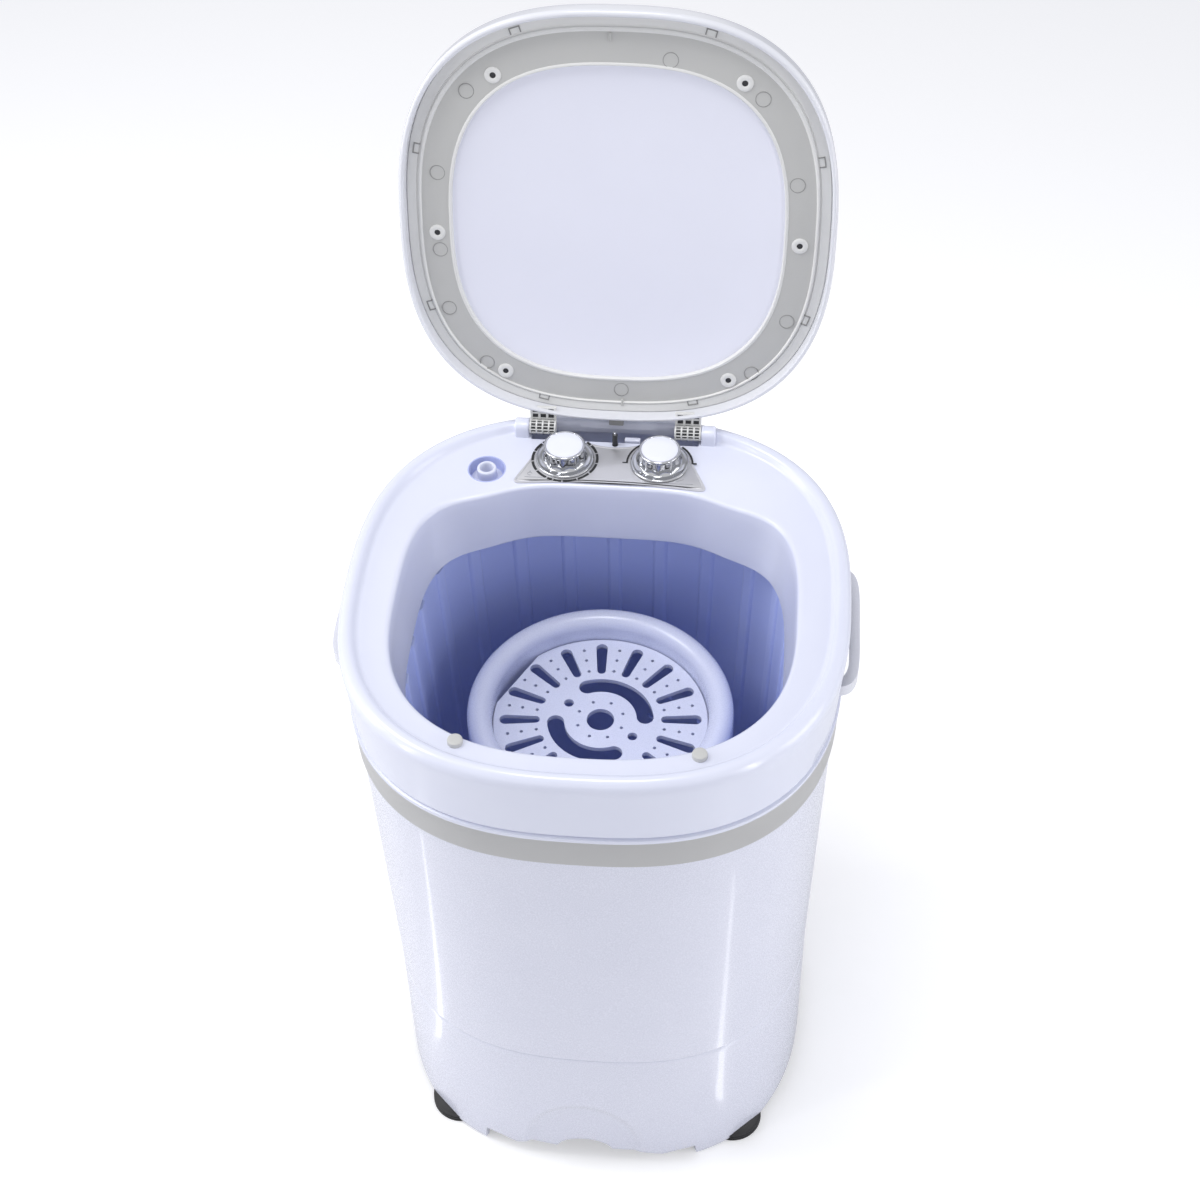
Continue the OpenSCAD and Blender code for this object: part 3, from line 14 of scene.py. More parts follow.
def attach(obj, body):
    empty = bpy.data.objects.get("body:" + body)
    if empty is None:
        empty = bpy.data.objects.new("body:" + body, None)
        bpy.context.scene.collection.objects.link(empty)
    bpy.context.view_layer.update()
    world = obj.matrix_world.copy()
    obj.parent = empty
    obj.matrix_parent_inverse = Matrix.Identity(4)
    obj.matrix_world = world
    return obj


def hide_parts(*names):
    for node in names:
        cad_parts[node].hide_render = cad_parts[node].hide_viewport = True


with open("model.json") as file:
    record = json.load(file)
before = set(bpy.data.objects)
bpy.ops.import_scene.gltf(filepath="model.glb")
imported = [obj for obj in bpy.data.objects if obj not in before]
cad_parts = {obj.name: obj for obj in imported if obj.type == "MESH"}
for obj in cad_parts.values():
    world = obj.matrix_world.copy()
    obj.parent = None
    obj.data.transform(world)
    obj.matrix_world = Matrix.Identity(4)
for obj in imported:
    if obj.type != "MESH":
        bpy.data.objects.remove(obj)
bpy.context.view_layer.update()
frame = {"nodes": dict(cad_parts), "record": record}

MM = 0.001
BODY_OF = {node: body for body, nodes in frame["record"]["behaviour"]["bodies"].items() for node in nodes}
ROUND = np.linspace(0, 2 * np.pi, 360, endpoint=False)
# Metres within which two vertices are one, and degrees past which an edge shades sharp
WELD, CREASE, CAD_CREASE = 2e-6, 35, 30
# Where the knobs, the inlet and the lid switch's plunger stand on the deck, and the axis of the lid's hinge
KNOB_X, KNOB_Y = 35.8, 131.5
INLET = (-93.5, 117.5)
PLUNGER = (0.5, 151)
HINGE_Y, HINGE_Z = 160, 531


# Curves

def plan(a, b, power, angle=ROUND, middle=0.0):
    """Rounded square: along each direction the reach r solves |r cos/a|^power + |r sin/b|^power = 1."""
    reach = (np.abs(np.cos(angle) / a) ** power + np.abs(np.sin(angle) / b) ** power) ** (-1 / power)
    return np.stack([reach * np.cos(angle), middle + reach * np.sin(angle)], -1)


def level(outline, z):
    """The flat outline lifted to height z, which is one number or one for each point."""
    return np.column_stack([outline, np.broadcast_to(z, len(outline))])


def soften(corners, steps=6, closed=True):
    """Corner (u, v, cut): each side stops at cut before the corner, and the quadratic curve
    (1-t)^2 P + 2t(1-t) C + t^2 Q runs round it. An open line keeps its two ends."""
    corners = np.asarray(corners, float)
    spot, cut = corners[:, :2], corners[:, 2:].copy()
    if not closed:
        cut[[0, -1]] = 0
    before, after = np.roll(spot, 1, 0) - spot, np.roll(spot, -1, 0) - spot
    start = spot + cut * before / np.linalg.norm(before, axis=1, keepdims=True)
    end = spot + cut * after / np.linalg.norm(after, axis=1, keepdims=True)
    t = np.linspace(0, 1, steps + 1)[None, :, None]
    curve = (1 - t) ** 2 * start[:, None] + 2 * t * (1 - t) * spot[:, None] + t ** 2 * end[:, None]
    line = curve.reshape(-1, 2)
    fresh = np.linalg.norm(line - np.roll(line, 1, 0), axis=1) > 1e-6
    return line[fresh]


def circle(r, u=0.0, v=0.0, count=64):
    """Points at u + r cos t, v + r sin t."""
    t = np.linspace(0, 2 * np.pi, count, endpoint=False)
    return np.stack([u + r * np.cos(t), v + r * np.sin(t)], -1)


def inward(outline, distance):
    """Each point moves inwards along the chord of its two neighbours turned by a quarter."""
    chord = np.roll(outline, -1, 0) - np.roll(outline, 1, 0)
    normal = np.stack([-chord[:, 1], chord[:, 0]], -1)
    normal /= np.linalg.norm(normal, axis=1, keepdims=True)
    x, y = outline.T
    side = np.sign(np.sum(x * np.roll(y, -1) - np.roll(x, -1) * y))
    return outline + side * distance * normal


def smooth(value, low, high):
    """0 below low, 1 above high, and 3t^2 - 2t^3 between."""
    t = np.clip((value - low) / (high - low), 0, 1)
    return t * t * (3 - 2 * t)


# Surfaces. Each returns (points, quads, flat faces) of one closed skin.

def skin(rings, looped=False, capped=False):
    """Ring i joins ring i+1 and each ring closes on itself; looped joins the last ring to the first,
    and capped fills the first and the last ring with one flat face."""
    rings = np.asarray(rings, float)
    rows, count = rings.shape[:2]
    i = np.arange(rows if looped else rows - 1)[:, None]
    j = np.arange(count)[None, :]
    up, along = (i + 1) % rows, (j + 1) % count
    corners = np.broadcast_arrays(i * count + j, i * count + along, up * count + along, up * count + j)
    quads = np.stack(corners, -1).reshape(-1, 4)
    ends = [np.arange(count)[::-1], np.arange((rows - 1) * count, rows * count)] if capped else []
    return rings.reshape(-1, 3), quads, ends


def turned(profile, x=0.0, y=0.0, count=96, looped=False):
    """Profile of (radius, height) carried round the upright axis at x, y."""
    profile = np.asarray(profile, float)
    angle = np.linspace(0, 2 * np.pi, count, endpoint=False)
    r, z = profile[:, :1], profile[:, 1:]
    return skin(np.stack([x + r * np.cos(angle), y + r * np.sin(angle), z + 0 * angle], -1), looped)


def laid(points, along):
    """(u, v, w) as (x, y, z) with w along the named axis."""
    order = {"z": [0, 1, 2], "x": [2, 0, 1], "y": [0, 2, 1]}[along]
    return points[..., order]


def slab(outline, low, high, edge=0.5, along="z"):
    """Outline carried from low to high; at each end it draws in on a quarter circle of radius edge."""
    t = np.linspace(0, np.pi / 2, 4)
    draw, rise = edge * (1 - np.sin(t)), edge * (1 - np.cos(t))
    draws = np.concatenate([draw, draw[::-1]])
    heights = np.concatenate([low + rise, high - rise[::-1]])
    rings = np.array([level(inward(outline, d), z) for d, z in zip(draws, heights)])
    return skin(laid(rings, along), capped=True)


def bar(low, high, edge=0.5, cut=1.0, along="z"):
    """Box from low to high with corners cut back by cut across the axis and rounded by edge at its ends."""
    order = {"z": (0, 1, 2), "x": (1, 2, 0), "y": (0, 2, 1)}[along]
    (u0, u1), (v0, v1), (w0, w1) = [(low[k], high[k]) for k in order]
    outline = soften([(u0, v0, cut), (u1, v0, cut), (u1, v1, cut), (u0, v1, cut)], 4)
    return slab(outline, w0, w1, edge, along)


def shell(shape, profile):
    """Closed profile of (inset, height) carried round: ring k is shape(inset) at that height."""
    return skin([level(shape(inset), z) for inset, z in profile], looped=True)


def mirrored(part):
    """The part at -x."""
    points, quads, ends = part
    return points * [-1, 1, 1], quads, ends


def both(part):
    """The part and its mirror image."""
    return [part, mirrored(part)]


# Meshes

def piece(name, body, material, parts, replaces=(), crease=CREASE):
    """One mesh from several skins: doubles are merged, faces turned outwards, and shading breaks past
    crease degrees."""
    points, faces, offset = [], [], 0
    for part_points, quads, ends in parts:
        points.append(part_points * MM)
        faces += (quads + offset).tolist() + [(end + offset).tolist() for end in ends]
        offset += len(part_points)
    mesh = bpy.data.meshes.new(name)
    mesh.from_pydata(np.concatenate(points), [], faces)
    return placed(name, body, material, mesh, replaces, crease)


def placed(name, body, material, mesh, replaces, crease, flatten=False):
    """Cleans the mesh and makes it an object that rides on body and stands for the nodes it replaces."""
    work = bmesh.new()
    work.from_mesh(mesh)
    bmesh.ops.remove_doubles(work, verts=work.verts, dist=WELD)
    if flatten:
        bmesh.ops.dissolve_limit(work, angle_limit=np.radians(0.6), verts=work.verts, edges=work.edges)
    bmesh.ops.recalc_face_normals(work, faces=work.faces)
    work.to_mesh(mesh)
    work.free()
    mesh.shade_smooth()
    mesh.set_sharp_from_angle(angle=np.radians(crease))
    mesh.materials.clear()
    mesh.materials.append(material)
    made = bpy.data.objects.new(name, mesh)
    bpy.context.scene.collection.objects.link(made)
    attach(made, body)
    if replaces:
        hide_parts(*replaces)
    return made


def bevelled(made, width):
    """Rounds the edges that are sharper than the crease, in two steps."""
    edge = made.modifiers.new("edge", "BEVEL")
    edge.width, edge.segments, edge.limit_method = width * MM, 2, "ANGLE"
    edge.angle_limit, edge.harden_normals = np.radians(CREASE), True
    edge.miter_outer = "MITER_ARC"
    return made


def dressed(node, material, width):
    """A merged copy of the CAD node with its edges just rounded, which stands for the node."""
    mesh = frame["nodes"][node].data.copy()
    made = placed(node + "_finished", BODY_OF[node], material, mesh, (node,), CAD_CREASE,
                  flatten=True)
    return bevelled(made, width)


def cut(made, cutters):
    """Takes the cutter solids out of the piece."""
    for points, quads, ends in cutters:
        mesh = bpy.data.meshes.new(made.name + "_cut")
        mesh.from_pydata(points * MM, [], quads.tolist() + [end.tolist() for end in ends])
        work = bmesh.new()
        work.from_mesh(mesh)
        bmesh.ops.recalc_face_normals(work, faces=work.faces)
        work.to_mesh(mesh)
        work.free()
        tool = bpy.data.objects.new(mesh.name, mesh)
        bpy.context.scene.collection.objects.link(tool)
        step = made.modifiers.new("cut", "BOOLEAN")
        step.operation, step.solver, step.object = "DIFFERENCE", "EXACT", tool
        bpy.context.view_layer.update()
        result = bpy.data.meshes.new_from_object(made.evaluated_get(bpy.context.evaluated_depsgraph_get()))
        made.modifiers.clear()
        old, made.data = made.data, result
        bpy.data.meshes.remove(old)
        bpy.data.objects.remove(tool)
    made.data.set_sharp_from_angle(angle=np.radians(CREASE))


# Materials

def linear(code):
    """sRGB hex to linear light: c/12.92 below 0.04045, else ((c + 0.055)/1.055)^2.4."""
    c = np.array([int(code[k:k + 2], 16) for k in (1, 3, 5)]) / 255
    c = np.where(c <= 0.04045, c / 12.92, ((c + 0.055) / 1.055) ** 2.4)
    return (*c.tolist(), 1.0)


def add(tree, kind, feeds=None, **settings):
    """One node with its settings; feeds gives each input a value or the output that drives it."""
    made = tree.nodes.new(kind)
    for name, value in settings.items():
        setattr(made, name, value)
    for name, value in (feeds or {}).items():
        if isinstance(value, bpy.types.NodeSocket):
            tree.links.new(value, made.inputs[name])
        else:
            made.inputs[name].default_value = value
    return made


def surface(name, colour, shade, roughness, spread=0.04, metallic=0.0, grain=0.5, depth=0.006,
            patch=45.0, stretch=(1, 1, 1), coat=0.0, ior=None):
    """A finish: two close colours drift over patches, and a fine grain moves the gloss and the relief.
    grain and patch are sizes in millimetres, depth is the relief's height, stretch draws the grain out."""
    material = bpy.data.materials.new(name)
    material.use_nodes = True
    tree = material.node_tree
    shader = tree.nodes["Principled BSDF"]
    spot = add(tree, "ShaderNodeTexCoord").outputs["Object"]
    turned_spot = add(tree, "ShaderNodeMapping", {"Vector": spot, "Scale": stretch}).outputs["Vector"]
    drift = add(tree, "ShaderNodeTexNoise", {"Vector": spot, "Scale": 1000 / patch, "Detail": 3.0})
    fine = add(tree, "ShaderNodeTexNoise", {"Vector": turned_spot, "Scale": 1000 / grain, "Detail": 2.0})
    tone = add(tree, "ShaderNodeMix", {0: drift.outputs["Fac"], 6: linear(colour), 7: linear(shade)},
               data_type="RGBA")
    tree.links.new(tone.outputs[2], shader.inputs["Base Color"])
    gloss = add(tree, "ShaderNodeMapRange", {"Value": fine.outputs["Fac"], "From Min": 0.3, "From Max": 0.7,
                                             "To Min": roughness - spread, "To Max": roughness + spread})
    tree.links.new(gloss.outputs["Result"], shader.inputs["Roughness"])
    relief = add(tree, "ShaderNodeBump", {"Height": fine.outputs["Fac"], "Distance": depth * MM,
                                          "Strength": 1.0})
    tree.links.new(relief.outputs["Normal"], shader.inputs["Normal"])
    shader.inputs["Metallic"].default_value = metallic
    shader.inputs["Coat Weight"].default_value = coat
    shader.inputs["Coat Roughness"].default_value = 0.08
    if ior:
        shader.inputs["IOR"].default_value = ior
    return material


# Injection-moulded ABS with a polished tool face: bright, bluish white, soft clear reflections
gloss_abs = surface("polished_white_abs", "#E0E3F1", "#DBDEEE", 0.24, 0.03, grain=0.9, depth=0.003,
                    coat=0.15, ior=1.53)
# The lid's shell in the same gloss, nearer to neutral
lid_abs = surface("polished_lid_abs", "#DFE0E5", "#DADBE1", 0.2, 0.03, grain=0.9, depth=0.003, coat=0.2,
                  ior=1.53)
# The cup round the inlet nozzle, a deeper lavender: partly the part's own tint, partly painted shade of the
# recess
cup_tint_and_shade_abs = surface("lavender_abs_with_painted_shade", "#B9C1EA", "#B3BBE6", 0.24, 0.03, grain=0.9, depth=0.003, coat=0.15,
                  ior=1.53)
# The same plastic on the body, a little greyer
body_abs = surface("white_body_abs", "#DDDFEC", "#D8DAE8", 0.27, 0.03, grain=0.9, depth=0.0015, coat=0.5,
                   ior=1.53)
# Silver-sprayed ABS strip: flat, neutral and satin
satin_band = surface("satin_silver_paint", "#B9B9B8", "#B3B3B3", 0.42, 0.04, metallic=0.25, grain=0.6,
                     depth=0.004)
# Blue polypropylene of the tub, moulded with a slight bloom
tub_pp = surface("blue_polypropylene", "#C8D3FE", "#C1CDFC", 0.36, 0.04, grain=0.8, depth=0.006, ior=1.49)
# Paler polypropylene of the basket, its ring and the press plate
basket_pp = surface("pale_polypropylene", "#E1E5F7", "#DBDFF4", 0.28, 0.03, grain=0.8, depth=0.003,
                    coat=0.1, ior=1.49)
# Deeper blue of the pulsator under the plate
pulsator_pp = surface("pulsator_polypropylene", "#4C5CBE", "#4656B6", 0.36, 0.04, grain=0.8, depth=0.005,
                      ior=1.49)
# Grey ABS of the lid's inner frame, lightly grained
frame_abs = surface("grey_moulded_abs", "#BDBDBA", "#B7B7B5", 0.34, 0.04, grain=0.7, depth=0.004, ior=1.53)
# Lighter grey of the frame's margin, its bosses and the hinge ribs
pale_abs = surface("pale_grey_abs", "#DCDCDA", "#D7D7D5", 0.32, 0.04, grain=0.7, depth=0.004, ior=1.53)
# Painted shade: a mid grey for the lines and marks of the frame that fall in shade, which the switch tab
# also wears as its own grey
grey_tab_and_painted_shade_abs = surface("grey_abs_and_painted_shade", "#8E8E8D", "#888887", 0.45, 0.04, grain=0.7, depth=0.004)
# Pale window sheet
window_pc = surface("pale_window_sheet", "#E4E5F0", "#E1E2ED", 0.38, 0.03, grain=1.2, depth=0.003, ior=1.55)
# Aluminium sheet with fine lines along the panel
panel_metal = surface("brushed_aluminium", "#CBCBCE", "#C6C6CA", 0.38, 0.04, metallic=0.6, grain=0.35,
                      depth=0.002, patch=30.0, stretch=(0.03, 1, 1))
# Chrome plate on the knobs: near mirror, with faint hand smears
chrome_plate = surface("chrome_plate", "#B9BABE", "#B0B2B7", 0.07, 0.02, metallic=1.0, grain=6.0,
                       depth=0.0008, patch=12.0)
# Bright white caps
cap_abs = surface("white_cap_abs", "#E6E8F2", "#E2E4EF", 0.2, 0.03, grain=0.8, depth=0.002, coat=0.2,
                  ior=1.53)
# Printed dial marks
ink = surface("black_printing_ink", "#17181B", "#1E1F22", 0.5, 0.04, grain=0.3, depth=0.002)
faint_ink = surface("grey_printing_ink", "#9FA1A6", "#989AA0", 0.5, 0.04, grain=0.3, depth=0.002)
# Soft rubber bumpers
bumper_tpe = surface("grey_soft_rubber", "#C6C6C3", "#BFBFBC", 0.55, 0.05, grain=0.5, depth=0.008)
# Black rubber feet, dull with a moulded grain
foot_rubber = surface("black_rubber", "#1B1B1D", "#232325", 0.62, 0.06, grain=0.6, depth=0.03)
# Handles, in the plain body plastic
handle_abs = surface("white_handle_abs", "#DCDDE4", "#D7D8E0", 0.28, 0.03, grain=0.8, depth=0.003, coat=0.1,
                     ior=1.53)
# Hidden machine parts
black_abs = surface("black_moulded_plastic", "#232427", "#2A2B2F", 0.45, 0.05, grain=0.6, depth=0.008)
cream_nylon = surface("cream_nylon", "#E3E0D4", "#DCD8CA", 0.42, 0.05, grain=0.7, depth=0.006)
pipe_pp = surface("grey_polypropylene_pipe", "#5E6067", "#56585F", 0.4, 0.05, grain=0.8, depth=0.008)
plate_pp = surface("grey_white_polypropylene", "#C9CBD6", "#C2C4D0", 0.4, 0.05, grain=0.8, depth=0.006)
zinc_steel = surface("zinc_plated_steel", "#B9BBBF", "#A7AAAF", 0.32, 0.08, metallic=1.0, grain=1.5,
                     depth=0.003, patch=8.0)
bracket_steel = surface("galvanised_sheet_steel", "#9DA0A5", "#878B91", 0.4, 0.08, metallic=1.0, grain=3.0,
                        depth=0.006, patch=14.0)
motor_paint = surface("painted_motor_steel", "#7F8288", "#777A80", 0.42, 0.06, metallic=0.4, grain=1.0,
                      depth=0.008)
belt_rubber = surface("belt_rubber", "#1D1D1F", "#262628", 0.7, 0.06, grain=0.5, depth=0.03)
capacitor_skin = surface("capacitor_case", "#3F4350", "#393D4A", 0.36, 0.05, grain=0.8, depth=0.005)


# Top collar

RIM_A, RIM_B, BODY_POWER = 180.0, 181.0, 2.58
DECK_Z = 524.0
OPEN_X, OPEN_MID, OPEN_FRONT, OPEN_BACK = 142.0, -20.0, 132.0, 123.5


def collar_ring(z, inset, less=0.0):
    """The collar's plan at height z, inset from the rim; less draws the front and back in further."""
    return level(plan(RIM_A - inset, RIM_B - inset - less, BODY_POWER), z)


def opening_ring(z, grow, draft=0.0):
    """The loading opening: a rounded square of power 2.6 in front and 3.6 behind its widest line.
    The back edge comes forward by 7.5 exp(-((|x| - 95)/20)^2/2), which gives its two S-shaped shoulders."""
    back = np.sin(ROUND) >= 0
    front_half = plan(OPEN_X - draft + grow, OPEN_FRONT - draft + grow, 2.6)
    back_half = plan(OPEN_X - draft + grow, OPEN_BACK + grow, 3.6)
    outline = np.where(back[:, None], back_half, front_half)
    dent = 7.5 * np.exp(-((np.abs(outline[:, 0]) - 95) / 20) ** 2 / 2)
    outline[:, 1] += OPEN_MID - np.where(back, dent * smooth(np.sin(ROUND), 0.0, 0.5), 0)
    return level(outline, z)


def collar_surface():
    """One closed profile carried round: lip, groove, drafted side, rim bead, deck, opening edge, skirt
    and back."""
    side = [collar_ring(z, inset, less) for z, inset, less in [
        (461.3, 3.2, 2.2), (461.6, 2.6, 1.8), (463.5, 2.1, 1.5), (465.6, 2.3, 1.6), (466.2, 3.2, 2.0),
        (466.5, 4.8, 2.4), (467.2, 4.9, 2.2), (467.4, 3.9, 1.7), (468.0, 3.5, 1.5), (480, 2.9, 1.2),
        (495, 2.0, 0.8), (508, 1.2, 0.4), (517, 0.5, 0.1), (521.5, 0.2, 0), (524.5, 0.6, 0), (527, 1.7, 0),
        (528.8, 3.3, 0), (529.7, 5.2, 0), (530, 7.2, 0), (529.7, 8.9, 0), (528.7, 10.4, 0), (527, 11.5, 0),
        (525.4, 12.4, 0), (524.4, 13.6, 0), (DECK_Z, 15.4, 0)]]
    mouth = [opening_ring(z, grow, draft) for z, grow, draft in [
        (DECK_Z, 4.2, 0), (523.85, 2.6, 0), (523.3, 1.2, 0), (522.3, 0.35, 0), (520.8, 0.05, 0.3),
        (512, 0, 1.6), (498, 0, 3.6), (484, 0, 5.6), (472.5, 0, 6.8), (471, 0.15, 7), (470.2, 0.8, 7),
        (470.4, 1.9, 7), (471.5, 2.4, 7), (498, 2.4, 3.6), (520.5, 2.4, 0)]]
    back = [collar_ring(z, inset, less) for z, inset, less in [
        (520.8, 16.5, 0), (520.8, 8.0, 0), (517, 3.4, 0.2), (495, 4.8, 0.8), (469, 6.3, 1.6),
        (461.5, 6.4, 2.6)]]
    return skin(side + mouth + back, looped=True)


def well_plan(grow):
    """Outline of the well where the lid's knuckles turn."""
    x, front, rear = 63 + grow, 154 - grow, 167 + grow
    return soften([(-x, front, 1.2), (x, front, 1.2), (x, rear, 2), (-x, rear, 2)], 4)


def tray(outline, floor, top, wall=2.2, round_in=1.6):
    """A cup with an open top: its lip rolls over, and its wall meets the floor on a quarter circle."""
    t = np.linspace(0, np.pi / 2, 5)
    inside = [(0.0, top - 0.5), (0.0, floor + round_in)]
    inside += list(zip(round_in * (1 - np.cos(t)), floor + round_in * (1 - np.sin(t))))
    outside = [(-wall, floor - wall), (-wall, top - 1.2), (-1.4, top - 0.1), (-0.9, top + 0.25),
               (-0.35, top + 0.15)]
    return skin([level(inward(outline, d), z) for d, z in outside + inside], capped=True)


def through(outline, low=500):
    """A cutter of this outline that runs from low out of the top of the deck."""
    return slab(outline, low, 540, 0.01)


collar = piece("collar", "machine", gloss_abs, [collar_surface()],
               ("top_collar", "opening_skirt"))
grip_cut = bar((159.2, -52.3, 469.7), (200, 64.3, 504.3), 0.01, 2.5, "x")
plunger_hole = through(circle(2.4, *PLUNGER, 48))
knuckle_room = soften([(-65.4, 154, 0.3), (65.4, 154, 0.3), (65.4, 168, 2), (-65.4, 168, 2)], 4)
cut(collar, [
    through(well_plan(0.9)), through(circle(14.2, *INLET)), through(knuckle_room, DECK_Z + 0.35),
    *[through(circle(6.4, x, KNOB_Y, 48)) for x in (-KNOB_X, KNOB_X)],
    plunger_hole, *both(grip_cut)])


def hump():
    """The low wall in front of the well: a rounded ridge that leans forward in the middle, and is low at
    the plunger."""
    x = np.linspace(-64.5, 64.5, 130)
    front = 151.6 - 0.9 * np.exp(-(x / 34) ** 2)
    crest = DECK_Z + 1.9 * smooth(64.5 - np.abs(x), 0, 9)
    notch = smooth(np.abs(x - 0.5), 2.5, 3.4)
    crest = DECK_Z + (crest - DECK_Z) * (0.15 + 0.85 * notch)
    t = np.linspace(0, np.pi, 12)[:, None]
    across = (front + 154.1) / 2 - (154.1 - front) / 2 * np.cos(t)
    height = 521.5 + (crest - 521.5) * np.sin(t) ** 0.45
    ring = np.stack([np.broadcast_to(x, across.shape), across, height], -1)
    return skin(np.swapaxes(ring, 0, 1), capped=True)


lug_side = soften([(154, 520.8, 0.4), (166, 520.8, 0.4), (166, 536.6, 5.8), (154, 536.6, 5.8)], 8)
collar_fittings = piece("collar_fittings", "machine", gloss_abs, [
    tray(well_plan(0), 517, DECK_Z, 2.2), hump(), *both(slab(lug_side, 65.5, 76.5, 1.4, "x")),
    bar((7.5, 154.2, 516.8), (19.5, 158, 526), 0.8, 0.9)])
cut(collar_fittings, [plunger_hole])
# The inlet's cup; its darker colour is partly painted shade of the recess
piece("inlet_cup", "machine", cup_tint_and_shade_abs, [
    tray(circle(13.2, *INLET, 96), 514, DECK_Z, 2.2, 2.4)])

piece("nozzle", "machine", gloss_abs, [
    turned([(4.9, 494), (4.9, 525.2), (5.3, 525.9), (6.1, 526), (6.8, 525.8), (7.3, 525.1), (7.3, 517.2),
            (8.2, 516.2), (11.4, 515.7), (12.1, 515.2), (12.1, 514.3), (7.3, 513.9), (7.3, 494)],
           *INLET, looped=True)], ("inlet_nozzle",))

piece("bumpers", "machine", bumper_tpe, [
    turned([(0, 523.6), (5.2, 523.6), (5.25, 526.4), (5.0, 527.2), (4.4, 527.6), (2.5, 527.7), (0, 527.7)],
           x, -146.3)
    for x in (-81, 81)], ("lid_bumpers",))

# Casing, band and base

SEAM_Z = 160
# Half the depth of the casing, the band and the base is this much less than half their width
NARROW = 2.5


def casing_ring(z, wall):
    """The casing's plan at height z, wall in from its face. Its half width grows by 6 from the seam to 295
    above it."""
    half = 169 - wall + 6 * (z - SEAM_Z) / 295
    return level(plan(half, half - NARROW, BODY_POWER), z)


piece("casing", "machine", body_abs, [skin(
    [casing_ring(z, 0) for z in (160.4, 161, 200, 240, 280, 320, 360, 400, 431, 455)]
    + [casing_ring(z, 2.6) for z in (455, 300, 160.4)], looped=True)], ("outer_casing",))

piece("band", "machine", satin_band, [shell(
    lambda out: plan(174.6 + out, 174.6 - NARROW + out, BODY_POWER),
    [(0.3, 432), (1.5, 432), (2.0, 432.5), (2.15, 433.4), (2.65, 459.6), (2.55, 460.5), (2.0, 461),
     (0.9, 461)])], ("trim_band",))

BASE_HALF, BASE_TOP, EDGE_Z = 170, 159.7, 12
# Points round the base stand closer along the front, where its lower edge has its notches and arch
BASE_ROUND = np.radians(np.concatenate([np.arange(-130, -50, 0.25), np.arange(-50, 230, 1.0)]))


def base_edge(x, y):
    """Height of the lower edge: 12 at the sides and back. In front it waves across between the two teeth,
    climbs on a round arch to 30, and outside the teeth rises slowly from 1.5 over the feet to 12 at the
    sides."""
    waves = np.interp(x, [-88, -76, -63, -51, -38, -30, 24, 44, 60, 74, 87],
                      [16.8, 16.2, 12.0, 17.6, 16.4, 15.6, 16, 14.6, 9.8, 12.8, 13.4])
    tooth = np.interp(np.abs(x), [88, 110, 125, 138, 146, 160], [1.5, 2.4, 3.4, 5.6, 8.4, EDGE_Z])
    edge = waves + (tooth - waves) * smooth(np.abs(x + 1.2), 88.0, 89.4)
    arch = 4.0 + 26 * np.sqrt(np.clip(1 - ((x + 5) / 25) ** 2, 0, None)) ** 0.8
    edge = np.maximum(edge, np.where(np.abs(x + 5) < 25, arch, 0))
    return np.where(y < 0, edge, EDGE_Z)


def base_surface():
    """Wall from the edge to the seam, drawn in by 1 in 148. A half-round panel over the arch is pressed in
    by 2.2."""
    rows = []
    share = np.concatenate([[0, 0.004, 0.012], np.linspace(0.03, 0.985, 42), [0.995, 1]])
    inset = np.concatenate([[1.2, 0.4, 0.08], np.zeros(42), [0.35, 1.2]])
    low = plan(BASE_HALF, BASE_HALF - NARROW, BODY_POWER, BASE_ROUND)
    edge = base_edge(*low.T)
    for t, draw in zip(share, inset):
        z = edge + (BASE_TOP - edge) * t
        half = BASE_HALF - (z - EDGE_Z) / 148 - draw
        reach = plan(1.0, 1.0 - NARROW / BASE_HALF, BODY_POWER, BASE_ROUND) * half[:, None]
        x, y = reach.T
        away = np.sqrt(((x + 6) / 50) ** 2 + ((z - 24) / 66) ** 2)
        y = y + np.where(y < 0, 2.2 * (1 - smooth(away, 0.84, 1.0)), 0)
        rows.append(np.column_stack([x, y, z]))
    inside = plan(BASE_HALF - 4, BASE_HALF - NARROW - 4, BODY_POWER, BASE_ROUND)
    rows += [level(inside, edge + (BASE_TOP - edge) * t + lift) for t, lift in [(1, 0), (0.5, 0), (0, 0.2)]]
    return skin(rows, looped=True)


base = piece("base", "machine", body_abs, [base_surface()], ("base_skirt",))
# Room for the drain spigot and the cord gland in the back
cut(base, [slab(circle(14.5, -100, 132), 100, 200, 0.01, "y"),
           slab(circle(6.8, 40, 84), 100, 200, 0.01, "y")])

FOOT_AT = 116


def foot_profile():
    """Radius 25 with three grooves round it; the top draws in by 5.2 under the base."""
    z = np.linspace(1.0, 11.4, 53)
    groove = np.zeros_like(z)
    for mid in (2.875, 5.75, 8.625):
        groove = np.maximum(groove, 1 - smooth(np.abs(z - mid), 0.35, 0.75))
    side = np.column_stack([25 - 1.3 * groove - 5.2 * smooth(z, 7.6, 11.6) - 0.05 * z, z])
    return np.concatenate([[(0, 0.0), (23.8, 0.0), (24.6, 0.3)], side, [(18.5, 11.5), (0, 11.5)]])


piece("rubber_feet", "machine", foot_rubber, [
    part for x in (-FOOT_AT, FOOT_AT) for y in (-FOOT_AT, FOOT_AT)
    for part in (turned(foot_profile(), x, y, 72), turned([(0, 11), (4, 11), (4, 32), (0, 32)], x, y, 24))],
    ("feet",))

# Wash tub

TUB_ROUND = np.linspace(0, 2 * np.pi, 768, endpoint=False)
TUB_FLOOR, TUB_TOP = 176, 455


def tub_ring(z, half, wall=0.0):
    """Rounded square of power 2.8. At every 15 degrees a strip, a quarter of the pitch wide, lies 1.9
    further in than the panels."""
    phase = (TUB_ROUND / (2 * np.pi) * 24) % 1
    strip = 1 - smooth(np.minimum(phase, 1 - phase), 0.11, 0.15)
    outline = plan(half + wall, half + wall, 2.8, TUB_ROUND)
    return level(outline * (1 - 1.9 * strip / half)[:, None], z)


def tub_half(z):
    """Half the tub's width at height z."""
    return 128 + 10 * (z - TUB_FLOOR) / 282


